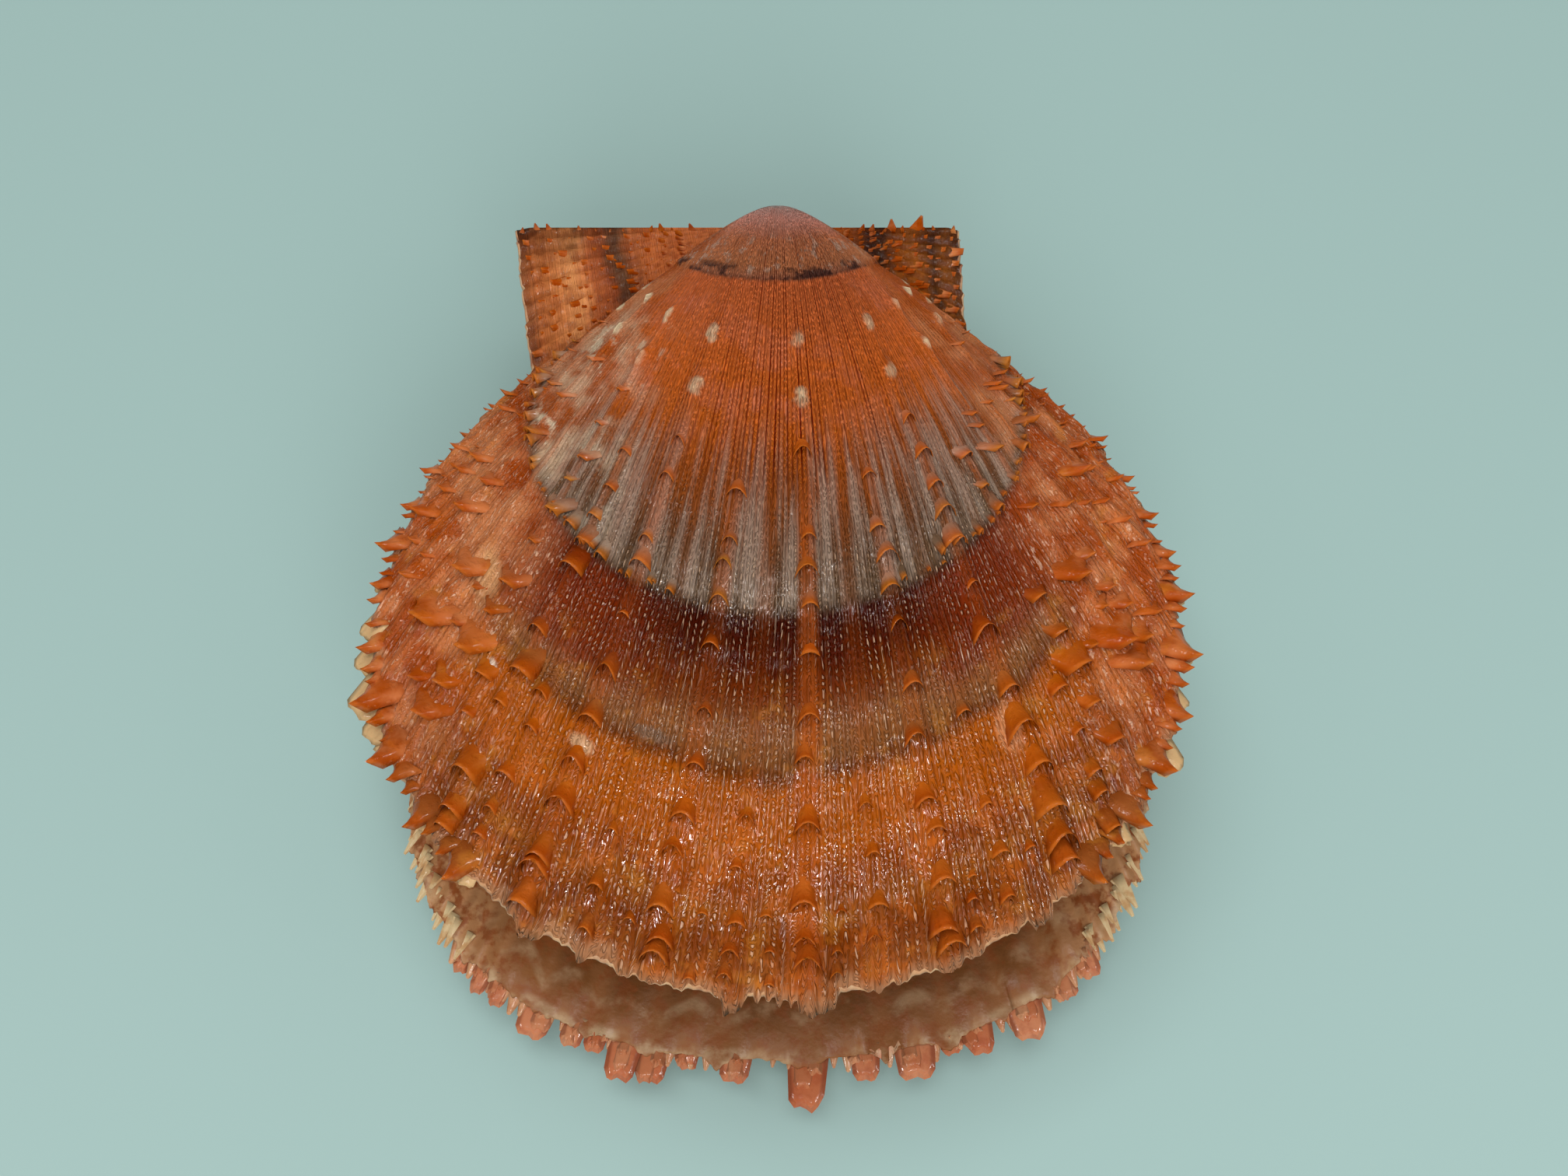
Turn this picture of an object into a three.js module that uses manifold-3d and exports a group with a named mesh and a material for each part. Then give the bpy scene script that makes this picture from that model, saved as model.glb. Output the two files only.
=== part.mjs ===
// A scallop shell with both valves. It lies on the belly of its lower valve and gapes at the front.
// Millimetres, +Z up. The hinge runs along X at the back and the ventral margins face -Y.
// The origin is the middle of the worn spot on the lower valve that the shell rests on.
import * as THREE from "three";
import { mergeVertices } from "three/addons/utils/BufferGeometryUtils.js";
import Module from "manifold-3d";

const { degToRad, smoothstep, lerp } = THREE.MathUtils;

// Pose: how far the valves gape, how the lower one leans forward, and where the hinge is.
const GAPE = degToRad(12);
const REST_TILT = degToRad(10);
const HINGE_BEHIND_REST = 35.1;
const HINGE_HEIGHT = 18.35;

// Hinge: room between the two hinge plates, and the ligament that fills it.
const HINGE_GAP = 1.2;
const TOUCHING_GAP = 0.3;
const LIGAMENT_LEFT = -22;
const LIGAMENT_RIGHT = 15;
const LIGAMENT_DEPTH = 1.6;
const RESILIUM_WIDTH = 6;
const RESILIUM_DEPTH = 5.2;

// Ribs: each carries a row of scales. Row 0 stands a little beside the middle, rows lie closer together
// on the flanks than at the ventral end, and the rank repeats every four rows.
const MIDDLE_ROW = degToRad(3.5);
const VENTRAL_PITCH = degToRad(10.2);
const VENTRAL_ROWS = 5;
const LATERAL_PITCH = degToRad(6.4);
const FIRST_ROW = -19;
const LAST_ROW = 18;
const RANK_OF_ROW = ["primary", "tertiary", "secondary", "tertiary"];
const EAR_COLUMNS = 4;

// Scales: how much neighbours differ, how far one leans back with the turn of the shell, and how high
// those on the margin stand beside the rest. The scatter values only make a repeatable spread.
const SCALE_VARIATION = 0.2;
const SCALE_SETBACK = 0.5;
const MARGIN_SCALE_RISE = 0.5;
const SCATTER_BY_ROW = 12.99;
const SCATTER_BY_GROWTH = 78.23;
const SCATTER_GAIN = 43758.5;

// Shell wall: at the margin, over the disc, and its extra under the umbo.
const MARGIN_THICKNESS = 1.0;
const WALL_THICKNESS = 1.4;
const UMBO_THICKENING = 3.5;
const UMBO_SPREAD = 0.12;
const HINGE_PLATE = 3;
const HINGE_PLATE_FADE = 5;
const GROOVE_FADE = 4;

// The two valves. Lengths are in mm, and growth runs from 0 at the umbo to 1 at the margin.
// A valve's own frame is x across, t from the hinge to the ventral margin, and n outwards.
const UPPER = {
  halfWidth: 34.8,
  widestAt: 41,
  ventralReach: 31.8,
  dorsalReach: 31.8,
  squareness: 2,
  flank: degToRad(141),
  leftEar: { hinge: 25, notchAcross: 22.6, notchDown: 16 },
  rightEar: { hinge: 17.2, notchAcross: 17.5, notchDown: 12.4 },
  earRise: 0.3,
  slowTurn: 0.33,
  fastTurn: 0.5,
  turnChange: 0.59,
  ribHeight: 0.45,
  ledges: [
    { growth: 0.21, height: 0.5 },
    { growth: 0.59, height: 0.4 },
  ],
  growthRows: [
    0.05, 0.12, 0.21, 0.222, 0.29, 0.335, 0.38, 0.425, 0.47, 0.515, 0.555, 0.59, 0.602, 0.64, 0.68,
    0.72, 0.76, 0.8, 0.84, 0.88, 0.92, 0.96, 1,
  ],
  scaleStart: { primary: 0.3, secondary: 0.5, tertiary: 0.75 },
  scaleRise: { primary: 2.2, secondary: 1.8, tertiary: 1.3 },
  scaleLean: 0.9,
  marginScale: { ventral: 1.0, lateral: 2.0 },
  floor: false,
};
const LOWER = {
  halfWidth: 33.6,
  widestAt: 52,
  ventralReach: 25,
  dorsalReach: 41,
  squareness: 2.3,
  flank: degToRad(138),
  leftEar: { hinge: 25, notchAcross: 17.5, notchDown: 11.5 },
  rightEar: { hinge: 17.2, notchAcross: 17, notchDown: 12 },
  earRise: 0.3,
  slowTurn: 0.4,
  fastTurn: 0.5,
  turnChange: 0.6,
  ribHeight: 0.4,
  ledges: [{ growth: 0.6, height: 0.3 }],
  growthRows: [0.06, 0.14, 0.24, 0.34, 0.44, 0.52, 0.6, 0.612, 0.68, 0.74, 0.8, 0.85, 0.9, 0.95, 1],
  scaleStart: { primary: 0.75, secondary: 0.8, tertiary: 0.9 },
  scaleRise: { primary: 1.7, secondary: 1.4, tertiary: 1.0 },
  scaleLean: 1.2,
  marginScale: { ventral: 3.6, lateral: 2.2 },
  floor: true,
};
const INNER_ROWS = [0.08, 0.2, 0.36, 0.54, 0.72, 0.88, 1];

const UPPER_SHELL = new THREE.MeshStandardMaterial({ color: 0xb5541c, roughness: 0.45, metalness: 0 });
const LOWER_SHELL = new THREE.MeshStandardMaterial({ color: 0xc08a63, roughness: 0.5, metalness: 0 });
const DRIED_LIGAMENT = new THREE.MeshStandardMaterial({ color: 0x2c1a12, roughness: 0.6, metalness: 0 });

const wasm = await Module();
wasm.setup();

// A repeatable spread between -1 and 1, so that neighbouring scales differ.
function spread(a, b) {
  const wave = Math.sin(a * SCATTER_BY_ROW + b * SCATTER_BY_GROWTH) * SCATTER_GAIN;
  return 2 * (wave - Math.floor(wave)) - 1;
}

// Power that keeps the sign of its base, for the superellipse of the margin.
function signedPower(base, power) {
  return Math.sign(base) * Math.abs(base) ** power;
}

// Point of the disc's margin at an angle from the ventral end: half a superellipse each way.
function discMargin(valve, angle) {
  const power = 2 / valve.squareness;
  const down = signedPower(Math.cos(angle), power);
  const reach = down > 0 ? valve.ventralReach : valve.dorsalReach;
  return {
    x: valve.halfWidth * signedPower(Math.sin(angle), power),
    t: valve.widestAt + reach * down,
  };
}

// Columns of an ear, from the hinge corner down its free edge to the notch.
function earColumns(ear, side) {
  return Array.from({ length: EAR_COLUMNS }, (_, i) => {
    const share = i / (EAR_COLUMNS - 1);
    return {
      x: side * lerp(ear.hinge, ear.notchAcross, share),
      t: lerp(0, ear.notchDown, share),
      disc: false,
      crest: 0,
    };
  });
}

// Angle from the ventral end to a scale row. Half rows are the grooves between two rows.
function rowAngle(row) {
  const ventral = Math.min(Math.abs(row), VENTRAL_ROWS) * VENTRAL_PITCH;
  const lateral = Math.max(Math.abs(row) - VENTRAL_ROWS, 0) * LATERAL_PITCH;
  return MIDDLE_ROW + Math.sign(row) * (ventral + lateral);
}

// All columns of a valve, left hinge corner to right hinge corner. A column is a ray from the umbo
// to its point of the margin. On the disc, rib crests and the grooves between them alternate.
function valveColumns(valve) {
  const disc = [];
  for (let row = FIRST_ROW - 0.5; row <= LAST_ROW + 0.5; row += 0.5) {
    const isEnd = row < FIRST_ROW || row > LAST_ROW;
    const angle = isEnd ? Math.sign(row) * valve.flank : rowAngle(row);
    const isCrest = Number.isInteger(row);
    const rank = isCrest ? RANK_OF_ROW[Math.abs(row) % RANK_OF_ROW.length] : null;
    disc.push({ ...discMargin(valve, angle), angle, row, rank, disc: true, crest: isCrest ? 1 : -1 });
  }
  return [...earColumns(valve.leftEar, -1), ...disc, ...earColumns(valve.rightEar, 1).reverse()];
}

// Turn of the growth spiral at a growth stage: older stages are turned further up about the hinge,
// faster inside the stage where the flare of the margin begins.
function spiralTurn(valve, growth) {
  const outer = Math.max(growth, valve.turnChange);
  const turn = valve.slowTurn * Math.log(1 / outer);
  return turn + valve.fastTurn * Math.log(outer / growth);
}

// Smooth surface of the valve: the margin point scaled by growth and turned by the spiral.
function spiralPoint(valve, column, growth) {
  const turn = spiralTurn(valve, growth);
  const rise = column.disc ? 1 : valve.earRise;
  return {
    x: growth * column.x,
    t: growth * column.t * Math.cos(turn),
    n: growth * column.t * Math.sin(turn) * rise,
    turn,
  };
}

// Highest n that keeps the belly of the lower valve on the worn spot at z = 0.
function wornLimit(t) {
  return (HINGE_HEIGHT - t * Math.sin(REST_TILT)) / Math.cos(REST_TILT);
}

// Rise and reach of the scale that stands on a rib crest at a growth row, nothing elsewhere.
function scaleOn(valve, column, rowIndex, growth) {
  const atMargin = growth === 1;
  const offBeat = (rowIndex + Math.round(Math.abs(column.row))) % 2 === 1;
  if (column.crest !== 1 || growth < valve.scaleStart[column.rank] || (offBeat && !atMargin)) {
    return { rise: 0, reach: 0 };
  }
  const vary = 1 + SCALE_VARIATION * spread(column.row, rowIndex);
  const rise = valve.scaleRise[column.rank] * growth * vary;
  if (!atMargin) return { rise, reach: valve.scaleLean * growth };
  const sideways = Math.abs(Math.sin(column.angle / 2));
  const reach = lerp(valve.marginScale.ventral, valve.marginScale.lateral, sideways);
  const share = valve.scaleRise[column.rank] / valve.scaleRise.primary;
  return { rise: rise * MARGIN_SCALE_RISE, reach: reach * share * vary };
}

// Outer face: spiral surface, wall at the margin, ribs, growth ledges and scales.
function outerPoint(valve, column, rowIndex, growth) {
  const p = spiralPoint(valve, column, growth);
  const ledge = valve.ledges
    .filter((step) => column.disc && growth <= step.growth)
    .reduce((sum, step) => sum + step.height, 0);
  const rib = valve.ribHeight * column.crest * growth;
  const { rise, reach } = scaleOn(valve, column, rowIndex, growth);
  const length = Math.hypot(column.x, column.t);
  const x = p.x + (reach * column.x) / length;
  const t = p.t + (reach * column.t) / length - rise * Math.sin(p.turn) * SCALE_SETBACK;
  const n = p.n + MARGIN_THICKNESS + ledge + rib + rise;
  return [x, t, valve.floor ? Math.min(n, wornLimit(t)) : n];
}

// Inner face: the outer one less the wall, flat on the hinge plate and at the margin.
function innerPoint(valve, column, growth) {
  const p = spiralPoint(valve, column, growth);
  const wall = WALL_THICKNESS + UMBO_THICKENING * Math.exp(-((growth / UMBO_SPREAD) ** 2));
  const hollow = smoothstep(p.t, HINGE_PLATE, HINGE_PLATE + HINGE_PLATE_FADE);
  const groove = (growth ** GROOVE_FADE * valve.ribHeight * (column.crest + 1)) / 2;
  const depth = Math.max(0, p.n + MARGIN_THICKNESS - wall) * hollow;
  return [p.x, p.t, column.disc ? depth + groove : 0];
}

// Triangles between two chains of vertices, whichever chain lags behind going first.
function zip(a, b) {
  const triangles = [];
  let i = 0;
  let j = 0;
  while (i < a.length - 1 || j < b.length - 1) {
    const aLags = j === b.length - 1 || (i + 1) / a.length <= (j + 1) / b.length;
    if (i < a.length - 1 && aLags) {
      triangles.push(a[i + 1], a[i], b[j]);
      i += 1;
    } else {
      triangles.push(a[i], b[j], b[j + 1]);
      j += 1;
    }
  }
  return triangles;
}

// Triangles of a face that fans out from its pole and goes on through its rows.
function faceTriangles(pole, rows) {
  const triangles = [];
  for (let j = 0; j + 1 < rows[0].length; j++) {
    triangles.push(pole, rows[0][j], rows[0][j + 1]);
    for (let i = 0; i + 1 < rows.length; i++) {
      const [a, b] = [rows[i][j], rows[i + 1][j]];
      const [c, d] = [rows[i + 1][j + 1], rows[i][j + 1]];
      triangles.push(a, b, c, a, c, d);
    }
  }
  return triangles;
}

// One valve as a closed solid: outer face, inner face, free margin and the two halves of the hinge edge.
// side is 1 for the valve that bulges up and -1 for the one that bulges down.
function valveGeometry(valve, side) {
  const columns = valveColumns(valve);
  const positions = [];
  const addPoint = ([x, t, n]) => positions.push(x, -t, side * n) / 3 - 1;
  const outerPole = addPoint([0, 0, MARGIN_THICKNESS]);
  const innerPole = addPoint([0, 0, 0]);
  const outer = valve.growthRows.map((growth, i) =>
    columns.map((column) => addPoint(outerPoint(valve, column, i, growth))),
  );
  const inner = INNER_ROWS.map((growth) =>
    columns.map((column) => addPoint(innerPoint(valve, column, growth))),
  );
  const edge = (pole, rows, j) => [pole, ...rows.map((row) => row.at(j))];
  const triangles = [
    ...faceTriangles(outerPole, outer),
    ...faceTriangles(innerPole, inner).reverse(),
    ...zip(outer.at(-1), inner.at(-1)),
    ...zip(edge(outerPole, outer, 0), edge(innerPole, inner, 0)),
    ...zip(edge(innerPole, inner, -1), edge(outerPole, outer, -1)),
  ];
  if (side < 0) triangles.reverse();
  const geometry = new THREE.BufferGeometry();
  geometry.setAttribute("position", new THREE.Float32BufferAttribute(positions, 3));
  geometry.setIndex(triangles);
  return geometry;
}

// Bar across the hinge with a given side outline in t and n, between two places along x.
function hingeBar(outline, left, right) {
  const shape = new THREE.Shape(outline.map(([t, n]) => new THREE.Vector2(-t, n)));
  const bar = new THREE.ExtrudeGeometry(shape, { depth: right - left, bevelEnabled: false });
  bar.rotateY(Math.PI / 2).rotateX(Math.PI / 2);
  return bar.translate(left, 0, 0);
}

// Solid of a closed geometry, for joining.
function solidOf(geometry) {
  const bare = geometry.clone();
  bare.deleteAttribute("normal");
  bare.deleteAttribute("uv");
  const merged = mergeVertices(bare);
  return new wasm.Manifold(
    new wasm.Mesh({
      numProp: 3,
      vertProperties: merged.attributes.position.array,
      triVerts: new Uint32Array(merged.index.array),
    }),
  );
}

// Geometry of a joined solid.
function geometryOf(solid) {
  const mesh = solid.getMesh();
  const geometry = new THREE.BufferGeometry();
  geometry.setAttribute("position", new THREE.BufferAttribute(mesh.vertProperties, 3));
  geometry.setIndex(new THREE.BufferAttribute(mesh.triVerts, 1));
  return geometry;
}

// Ligament: a thin strip along the hinge, and the wedge of the resilium that holds the valves apart.
function ligamentGeometry() {
  const bottom = TOUCHING_GAP;
  const top = (t) => HINGE_GAP + t * Math.tan(GAPE) - TOUCHING_GAP;
  const wedge = (start, end) => [
    [start, bottom],
    [end, bottom],
    [end, top(end)],
    [start, top(start)],
  ];
  const strip = solidOf(hingeBar(wedge(0, LIGAMENT_DEPTH), LIGAMENT_LEFT, LIGAMENT_RIGHT));
  const halfWidth = RESILIUM_WIDTH / 2;
  const resilium = solidOf(hingeBar(wedge(LIGAMENT_DEPTH / 2, RESILIUM_DEPTH), -halfWidth, halfWidth));
  return geometryOf(strip.add(resilium));
}

function namedMesh(name, geometry, material) {
  geometry.computeVertexNormals();
  const mesh = new THREE.Mesh(geometry, material);
  mesh.name = name;
  return mesh;
}

const upperValve = namedMesh("upper_valve", valveGeometry(UPPER, 1), UPPER_SHELL);
upperValve.position.z = HINGE_GAP;
upperValve.rotation.x = -GAPE;

const lowerValve = namedMesh("lower_valve", valveGeometry(LOWER, -1), LOWER_SHELL);
const ligament = namedMesh("hinge_ligament", ligamentGeometry(), DRIED_LIGAMENT);

const shell = new THREE.Group();
shell.add(upperValve, lowerValve, ligament);
shell.rotation.x = REST_TILT;
shell.position.set(0, HINGE_BEHIND_REST, HINGE_HEIGHT);

const scallop = new THREE.Group();
scallop.add(shell);
export default scallop;
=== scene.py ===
"""Looks of a gaping scallop shell: two ribbed and scaly valves and the ligament between them.

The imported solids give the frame. Every piece here is a surface worked out in a valve's own frame
(x across, t from the hinge to the ventral margin, n outwards, in mm) and then put in its place.
"""

import math
from types import SimpleNamespace

import bpy
import numpy as np
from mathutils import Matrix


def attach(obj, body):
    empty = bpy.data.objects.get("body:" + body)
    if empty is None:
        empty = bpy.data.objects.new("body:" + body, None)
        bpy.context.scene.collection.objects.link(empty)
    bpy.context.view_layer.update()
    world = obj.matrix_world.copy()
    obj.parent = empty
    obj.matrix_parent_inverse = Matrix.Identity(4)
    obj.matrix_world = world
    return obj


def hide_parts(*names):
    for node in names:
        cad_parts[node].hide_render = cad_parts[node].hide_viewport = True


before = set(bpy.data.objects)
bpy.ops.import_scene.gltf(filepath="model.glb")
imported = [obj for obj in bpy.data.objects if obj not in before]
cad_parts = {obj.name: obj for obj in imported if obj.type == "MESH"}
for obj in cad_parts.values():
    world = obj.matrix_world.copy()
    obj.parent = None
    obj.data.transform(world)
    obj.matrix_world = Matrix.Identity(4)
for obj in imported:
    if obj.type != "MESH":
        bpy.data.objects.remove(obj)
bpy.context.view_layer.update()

# Pose of the two valves, the same as in the solids. Lengths are in mm.
GAPE = math.radians(12)
REST_TILT = math.radians(10)
HINGE_BEHIND_REST = 35.1
HINGE_HEIGHT = 18.35
HINGE_GAP = 1.2
MM = 0.001
FULL_TURN = 2 * math.pi

# Ribs: row 0 stands a little beside the middle, and rows lie closer together on the flanks.
MIDDLE_ROW = math.radians(3.5)
VENTRAL_PITCH = math.radians(10.2)
VENTRAL_ROWS = 5
LATERAL_PITCH = math.radians(6.4)
FIRST_ROW, LAST_ROW = -19, 18
ROW_DRIFT = math.radians(9)
RIBLET_PITCH = VENTRAL_PITCH / 7
COLUMNS_PER_RIBLET = 4
EAR_RIBLETS = 9
FLANK_LAG = 0.17
LEDGE_FADE, RIB_FADE = 0.012, 0.18
RIB_WIDTHS, LATERAL_WIDENING = (0.27, 0.13, 0.24, 0.13), 1.35

# White knobs: growth stage and half length of each in the relief, and the stages of their colour.
KNOB_RELIEF = ((0.298, 0.011), (0.37, 0.013))
KNOB_TONES = (0.299, 0.371)

# Lumps on the flanks: a share, then the rates by angle and by growth of two waves that cross.
LUMPS = ((1.0, (29, 15), (-6, 47)), (0.8, (53, -31), (9, 83)), (0.5, (83, 40), (-21, 131)))

# The valves, with lengths in mm. Ears give the hinge corner, the notch and its depth, ledges their stage
# and height, and ribs go by rank: main, small, middle and small.
UPPER = SimpleNamespace(
    side=1, half_width=34.8, widest_at=41.0, ventral_reach=31.8, dorsal_reach=31.8, squareness=2.0,
    flank=math.radians(141), left_ear=(25.0, 22.6, 16.0), right_ear=(17.2, 17.5, 12.4), ear_rise=0.3,
    slow_turn=0.33, fast_turn=0.5, turn_change=0.59, ledges=((0.212, 0.5), (0.597, 0.4)),
    rib_height=(0.62, 0.22, 0.5, 0.22), rib_start=(0.27, 0.6, 0.4, 0.6),
    riblet_height=0.07, knob_height=0.5,
    outer_rows=88, rows_per_inner_row=4, frill=0.55, groove=0.45,
)
LOWER = SimpleNamespace(
    side=-1, half_width=33.6, widest_at=52.0, ventral_reach=25.0, dorsal_reach=41.0, squareness=2.3,
    flank=math.radians(138), left_ear=(25.0, 17.5, 11.5), right_ear=(17.2, 17.0, 12.0), ear_rise=0.3,
    slow_turn=0.4, fast_turn=0.5, turn_change=0.6, ledges=((0.6, 0.3),),
    rib_height=(0.55, 0.3, 0.45, 0.3), rib_start=(0.3, 0.5, 0.4, 0.5),
    riblet_height=0.1, knob_height=0.0,
    outer_rows=64, rows_per_inner_row=2, frill=0.9, groove=0.75,
)

# Flakes of the upper lip: angle and half width in degrees, length in mm.
LIP_FLAKES = (
    (-35.0, 1.9, 1.1), (-27.0, 0.9, 0.5), (-21.0, 1.2, 0.7), (-13.0, 0.8, 0.5), (-5.6, 1.5, 1.5),
    (-2.6, 0.4, 0.8), (-1.2, 0.35, 0.6), (0.4, 0.4, 0.9), (2.0, 0.35, 0.7), (3.4, 0.5, 1.0),
    (6.0, 2.2, 1.6), (12.0, 0.9, 0.4), (17.0, 1.1, 0.6), (28.0, 1.3, 0.7), (38.5, 2.0, 1.3),
)

# Cream flakes under the upper side margins, and fingers of the lower lip: angle in degrees, width and
# length in mm.
SIDE_FLAKES = (
    (-98.0, 1.96, 1.89), (-91.0, 2.38, 2.16), (-86.0, 3.22, 2.7), (-80.0, 3.92, 3.24), (-75.0, 3.08, 2.7),
    (-71.0, 2.52, 2.43), (-58.0, 2.1, 2.025), (-47.0, 1.96, 1.89), (55.0, 2.24, 2.025),
    (70.0, 3.36, 2.835), (79.0, 2.1, 2.16), (87.0, 2.38, 2.565), (96.0, 1.96, 2.025),
)
FINGERS = (
    (-54.0, 1.5, 2.2), (-49.0, 1.5, 2.4), (-44.5, 1.6, 2.3), (-36.5, 2.9, 2.9), (-29.5, 2.0, 2.6),
    (-25.5, 1.9, 2.2), (-20.5, 2.7, 4.0), (-16.0, 2.7, 3.8), (-11.0, 1.8, 2.2), (-4.5, 2.6, 3.0),
    (3.2, 3.2, 4.2), (10.8, 2.4, 2.6), (18.2, 3.3, 3.5), (24.0, 1.8, 2.0), (29.0, 2.4, 2.6),
    (38.0, 3.0, 3.4), (46.5, 2.4, 2.8), (53.0, 2.0, 2.3),
)

# Walls of both valves in mm.
MARGIN_THICKNESS = 1.0
WALL_THICKNESS = 1.4
UMBO_THICKENING = 3.5
UMBO_SPREAD = 0.12
HINGE_PLATE, HINGE_PLATE_FADE = 3.0, 5.0


def smoothstep(value, start, full):
    """0 below start, 1 above full, and the cubic 3s^2 - 2s^3 of the share s in between."""
    share = np.clip((value - start) / (full - start), 0.0, 1.0)
    return share * share * (3 - 2 * share)


def row_angle(row):
    """Angle from the ventral end to a scale row: wide steps for the first rows, narrow ones after."""
    ventral = np.minimum(np.abs(row), VENTRAL_ROWS) * VENTRAL_PITCH
    lateral = np.maximum(np.abs(row) - VENTRAL_ROWS, 0) * LATERAL_PITCH
    return MIDDLE_ROW + np.sign(row) * (ventral + lateral)


def row_at(angle):
    """The scale row at an angle, the inverse of row_angle."""
    away = np.abs(angle - MIDDLE_ROW)
    ventral = np.minimum(away, VENTRAL_ROWS * VENTRAL_PITCH) / VENTRAL_PITCH
    lateral = np.maximum(away - VENTRAL_ROWS * VENTRAL_PITCH, 0) / LATERAL_PITCH
    return np.sign(angle - MIDDLE_ROW) * (ventral + lateral)


def disc_margin(valve, angle):
    """Margin of the disc: a superellipse round the widest place, with its own reach to each end."""
    power = 2 / valve.squareness
    across = np.sign(np.sin(angle)) * np.abs(np.sin(angle)) ** power
    down = np.sign(np.cos(angle)) * np.abs(np.cos(angle)) ** power
    reach = np.where(down > 0, valve.ventral_reach, valve.dorsal_reach)
    return valve.half_width * across, valve.widest_at + reach * down


def flank_lag(valve, angle):
    """How far growth bands lag on the flanks: by the fourth power of the share of the flank."""
    return FLANK_LAG * np.abs(angle / valve.flank) ** 4


def stage_at(valve, angle, growth):
    """Growth stage that bands and ledges follow: growth less the lag of the flanks."""
    return growth - flank_lag(valve, angle)


def grown_share(growth):
    """Size of ribs and hoods as the shell grows: a straight line from 0.3 to 1."""
    return 0.3 + 0.7 * growth


def grown_point(valve, across, down, growth, rise, step):
    """Growth spiral: the margin point is scaled by growth and turned up about the hinge by a turn
    that grows with the logarithm of 1 / growth, faster in the young shell. The wall and the ledge
    step are added outwards."""
    late = np.maximum(growth, valve.turn_change)
    turn = valve.slow_turn * np.log(1 / late) + valve.fast_turn * np.log(late / growth)
    n = growth * down * np.sin(turn) * rise + MARGIN_THICKNESS + step
    return np.stack([growth * across, growth * down * np.cos(turn), n], axis=-1)


def disc_point(valve, margin_angle, growth):
    """Smooth outer face of the disc on the ray of a margin angle. Rays lean a little to one side
    towards the umbo, and the older shell stands a ledge above the younger."""
    lean = np.cos(margin_angle / valve.flank * math.pi / 2) ** 2
    across, down = disc_margin(valve, margin_angle + ROW_DRIFT * (1 - growth) * lean)
    stage = stage_at(valve, margin_angle, growth)
    step = sum(height * (1 - smoothstep(stage, edge, edge + LEDGE_FADE)) for edge, height in valve.ledges)
    return grown_point(valve, across, down, growth, 1.0, step)


def unit(vectors):
    """Vectors of length 1 in the same directions."""
    return vectors / np.maximum(np.linalg.norm(vectors, axis=-1, keepdims=True), 1e-12)


def rib_share(valve, row, growth):
    """Ribs as Gaussian crests on the scale rows, by rank, fading in where each rank begins."""
    nearest = np.rint(row)
    rank = np.abs(nearest).astype(int) % 4
    width = np.array(RIB_WIDTHS)[rank]
    width = width * np.where(np.abs(nearest) > VENTRAL_ROWS, LATERAL_WIDENING, 1.0)
    start = np.array(valve.rib_start)[rank]
    crest = np.exp(-(((row - nearest) / width) ** 2)) * smoothstep(growth, start, start + RIB_FADE)
    return crest, np.array(valve.rib_height)[rank]


def knob_share(row, growth):
    """Soft white knobs on the young main ribs: a Gaussian across every fourth row times Gaussians at
    two growth stages."""
    off = row - 4 * np.rint(row / 4)
    stages = sum(np.exp(-(((growth - middle) / half) ** 2)) for middle, half in KNOB_RELIEF)
    return np.exp(-((off / 0.34) ** 2)) * stages * (np.abs(row) < 14)


def relief(valve, margin_angle, growth):
    """Height in mm above the smooth disc: ribs, riblets that double in number as the shell grows,
    shallow growth waves, slow swellings, lumps on the flanks and, on the upper valve, knobs."""

    def wave(by_angle, by_growth):
        """Sine of the angle and the growth, each at its rate."""
        return np.sin(margin_angle * by_angle + growth * by_growth)

    row = row_at(margin_angle)
    crest, height = rib_share(valve, row, growth)
    phase = FULL_TURN * (margin_angle - MIDDLE_ROW) / RIBLET_PITCH
    doubling = smoothstep(growth, 0.36, 0.56)
    riblet = (1 - doubling) * np.cos(phase / 2) + doubling * np.cos(phase)
    waves = 0.07 * np.sin(growth * 83 + 1.3 * np.sin(margin_angle * 3)) * smoothstep(growth, 0.25, 0.6)
    swell = 0.16 * np.sin(margin_angle * 6.3 + growth * 9) * np.sin(growth * 21 - margin_angle * 2.7)
    waves = waves + swell * smoothstep(growth, 0.5, 0.8)
    aside = smoothstep(np.abs(margin_angle / valve.flank), 0.3, 0.52) * smoothstep(growth, 0.6, 0.74)
    lumps = sum(share * wave(*first) * wave(*second) for share, first, second in LUMPS)
    waves = waves + 0.1 * lumps * aside
    uneven = 1 + 0.35 * np.sin(phase / 5.3 + growth * 8) * np.sin(growth * 34 - phase / 9)
    fine = valve.riblet_height * (0.5 + 0.5 * growth) * (riblet - 0.3) * uneven
    fine = fine * (1 - 0.7 * crest) * (1 - 0.3 * aside)
    knobs = valve.knob_height * knob_share(row, stage_at(valve, margin_angle, growth))
    return height * crest * grown_share(growth) + fine + waves + knobs


def tipped(y, z, angle):
    """y and z after a turn about the hinge line."""
    return y * math.cos(angle) - z * math.sin(angle), y * math.sin(angle) + z * math.cos(angle)


def to_row_frame(points, valve):
    """Valve frame in mm to the part's frame in metres: the lower valve bulges down, the upper one
    is turned open by the gape and lifted by the hinge gap, and both lean by the rest tilt."""
    x, y, z = points[..., 0], -points[..., 1], valve.side * points[..., 2]
    if valve.side > 0:
        y, z = tipped(y, z, -GAPE)
        z = z + HINGE_GAP
    y, z = tipped(y, z, REST_TILT)
    z = np.maximum(z + HINGE_HEIGHT, 0.0)
    return np.stack([x, y + HINGE_BEHIND_REST, z], axis=-1) * MM


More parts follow.
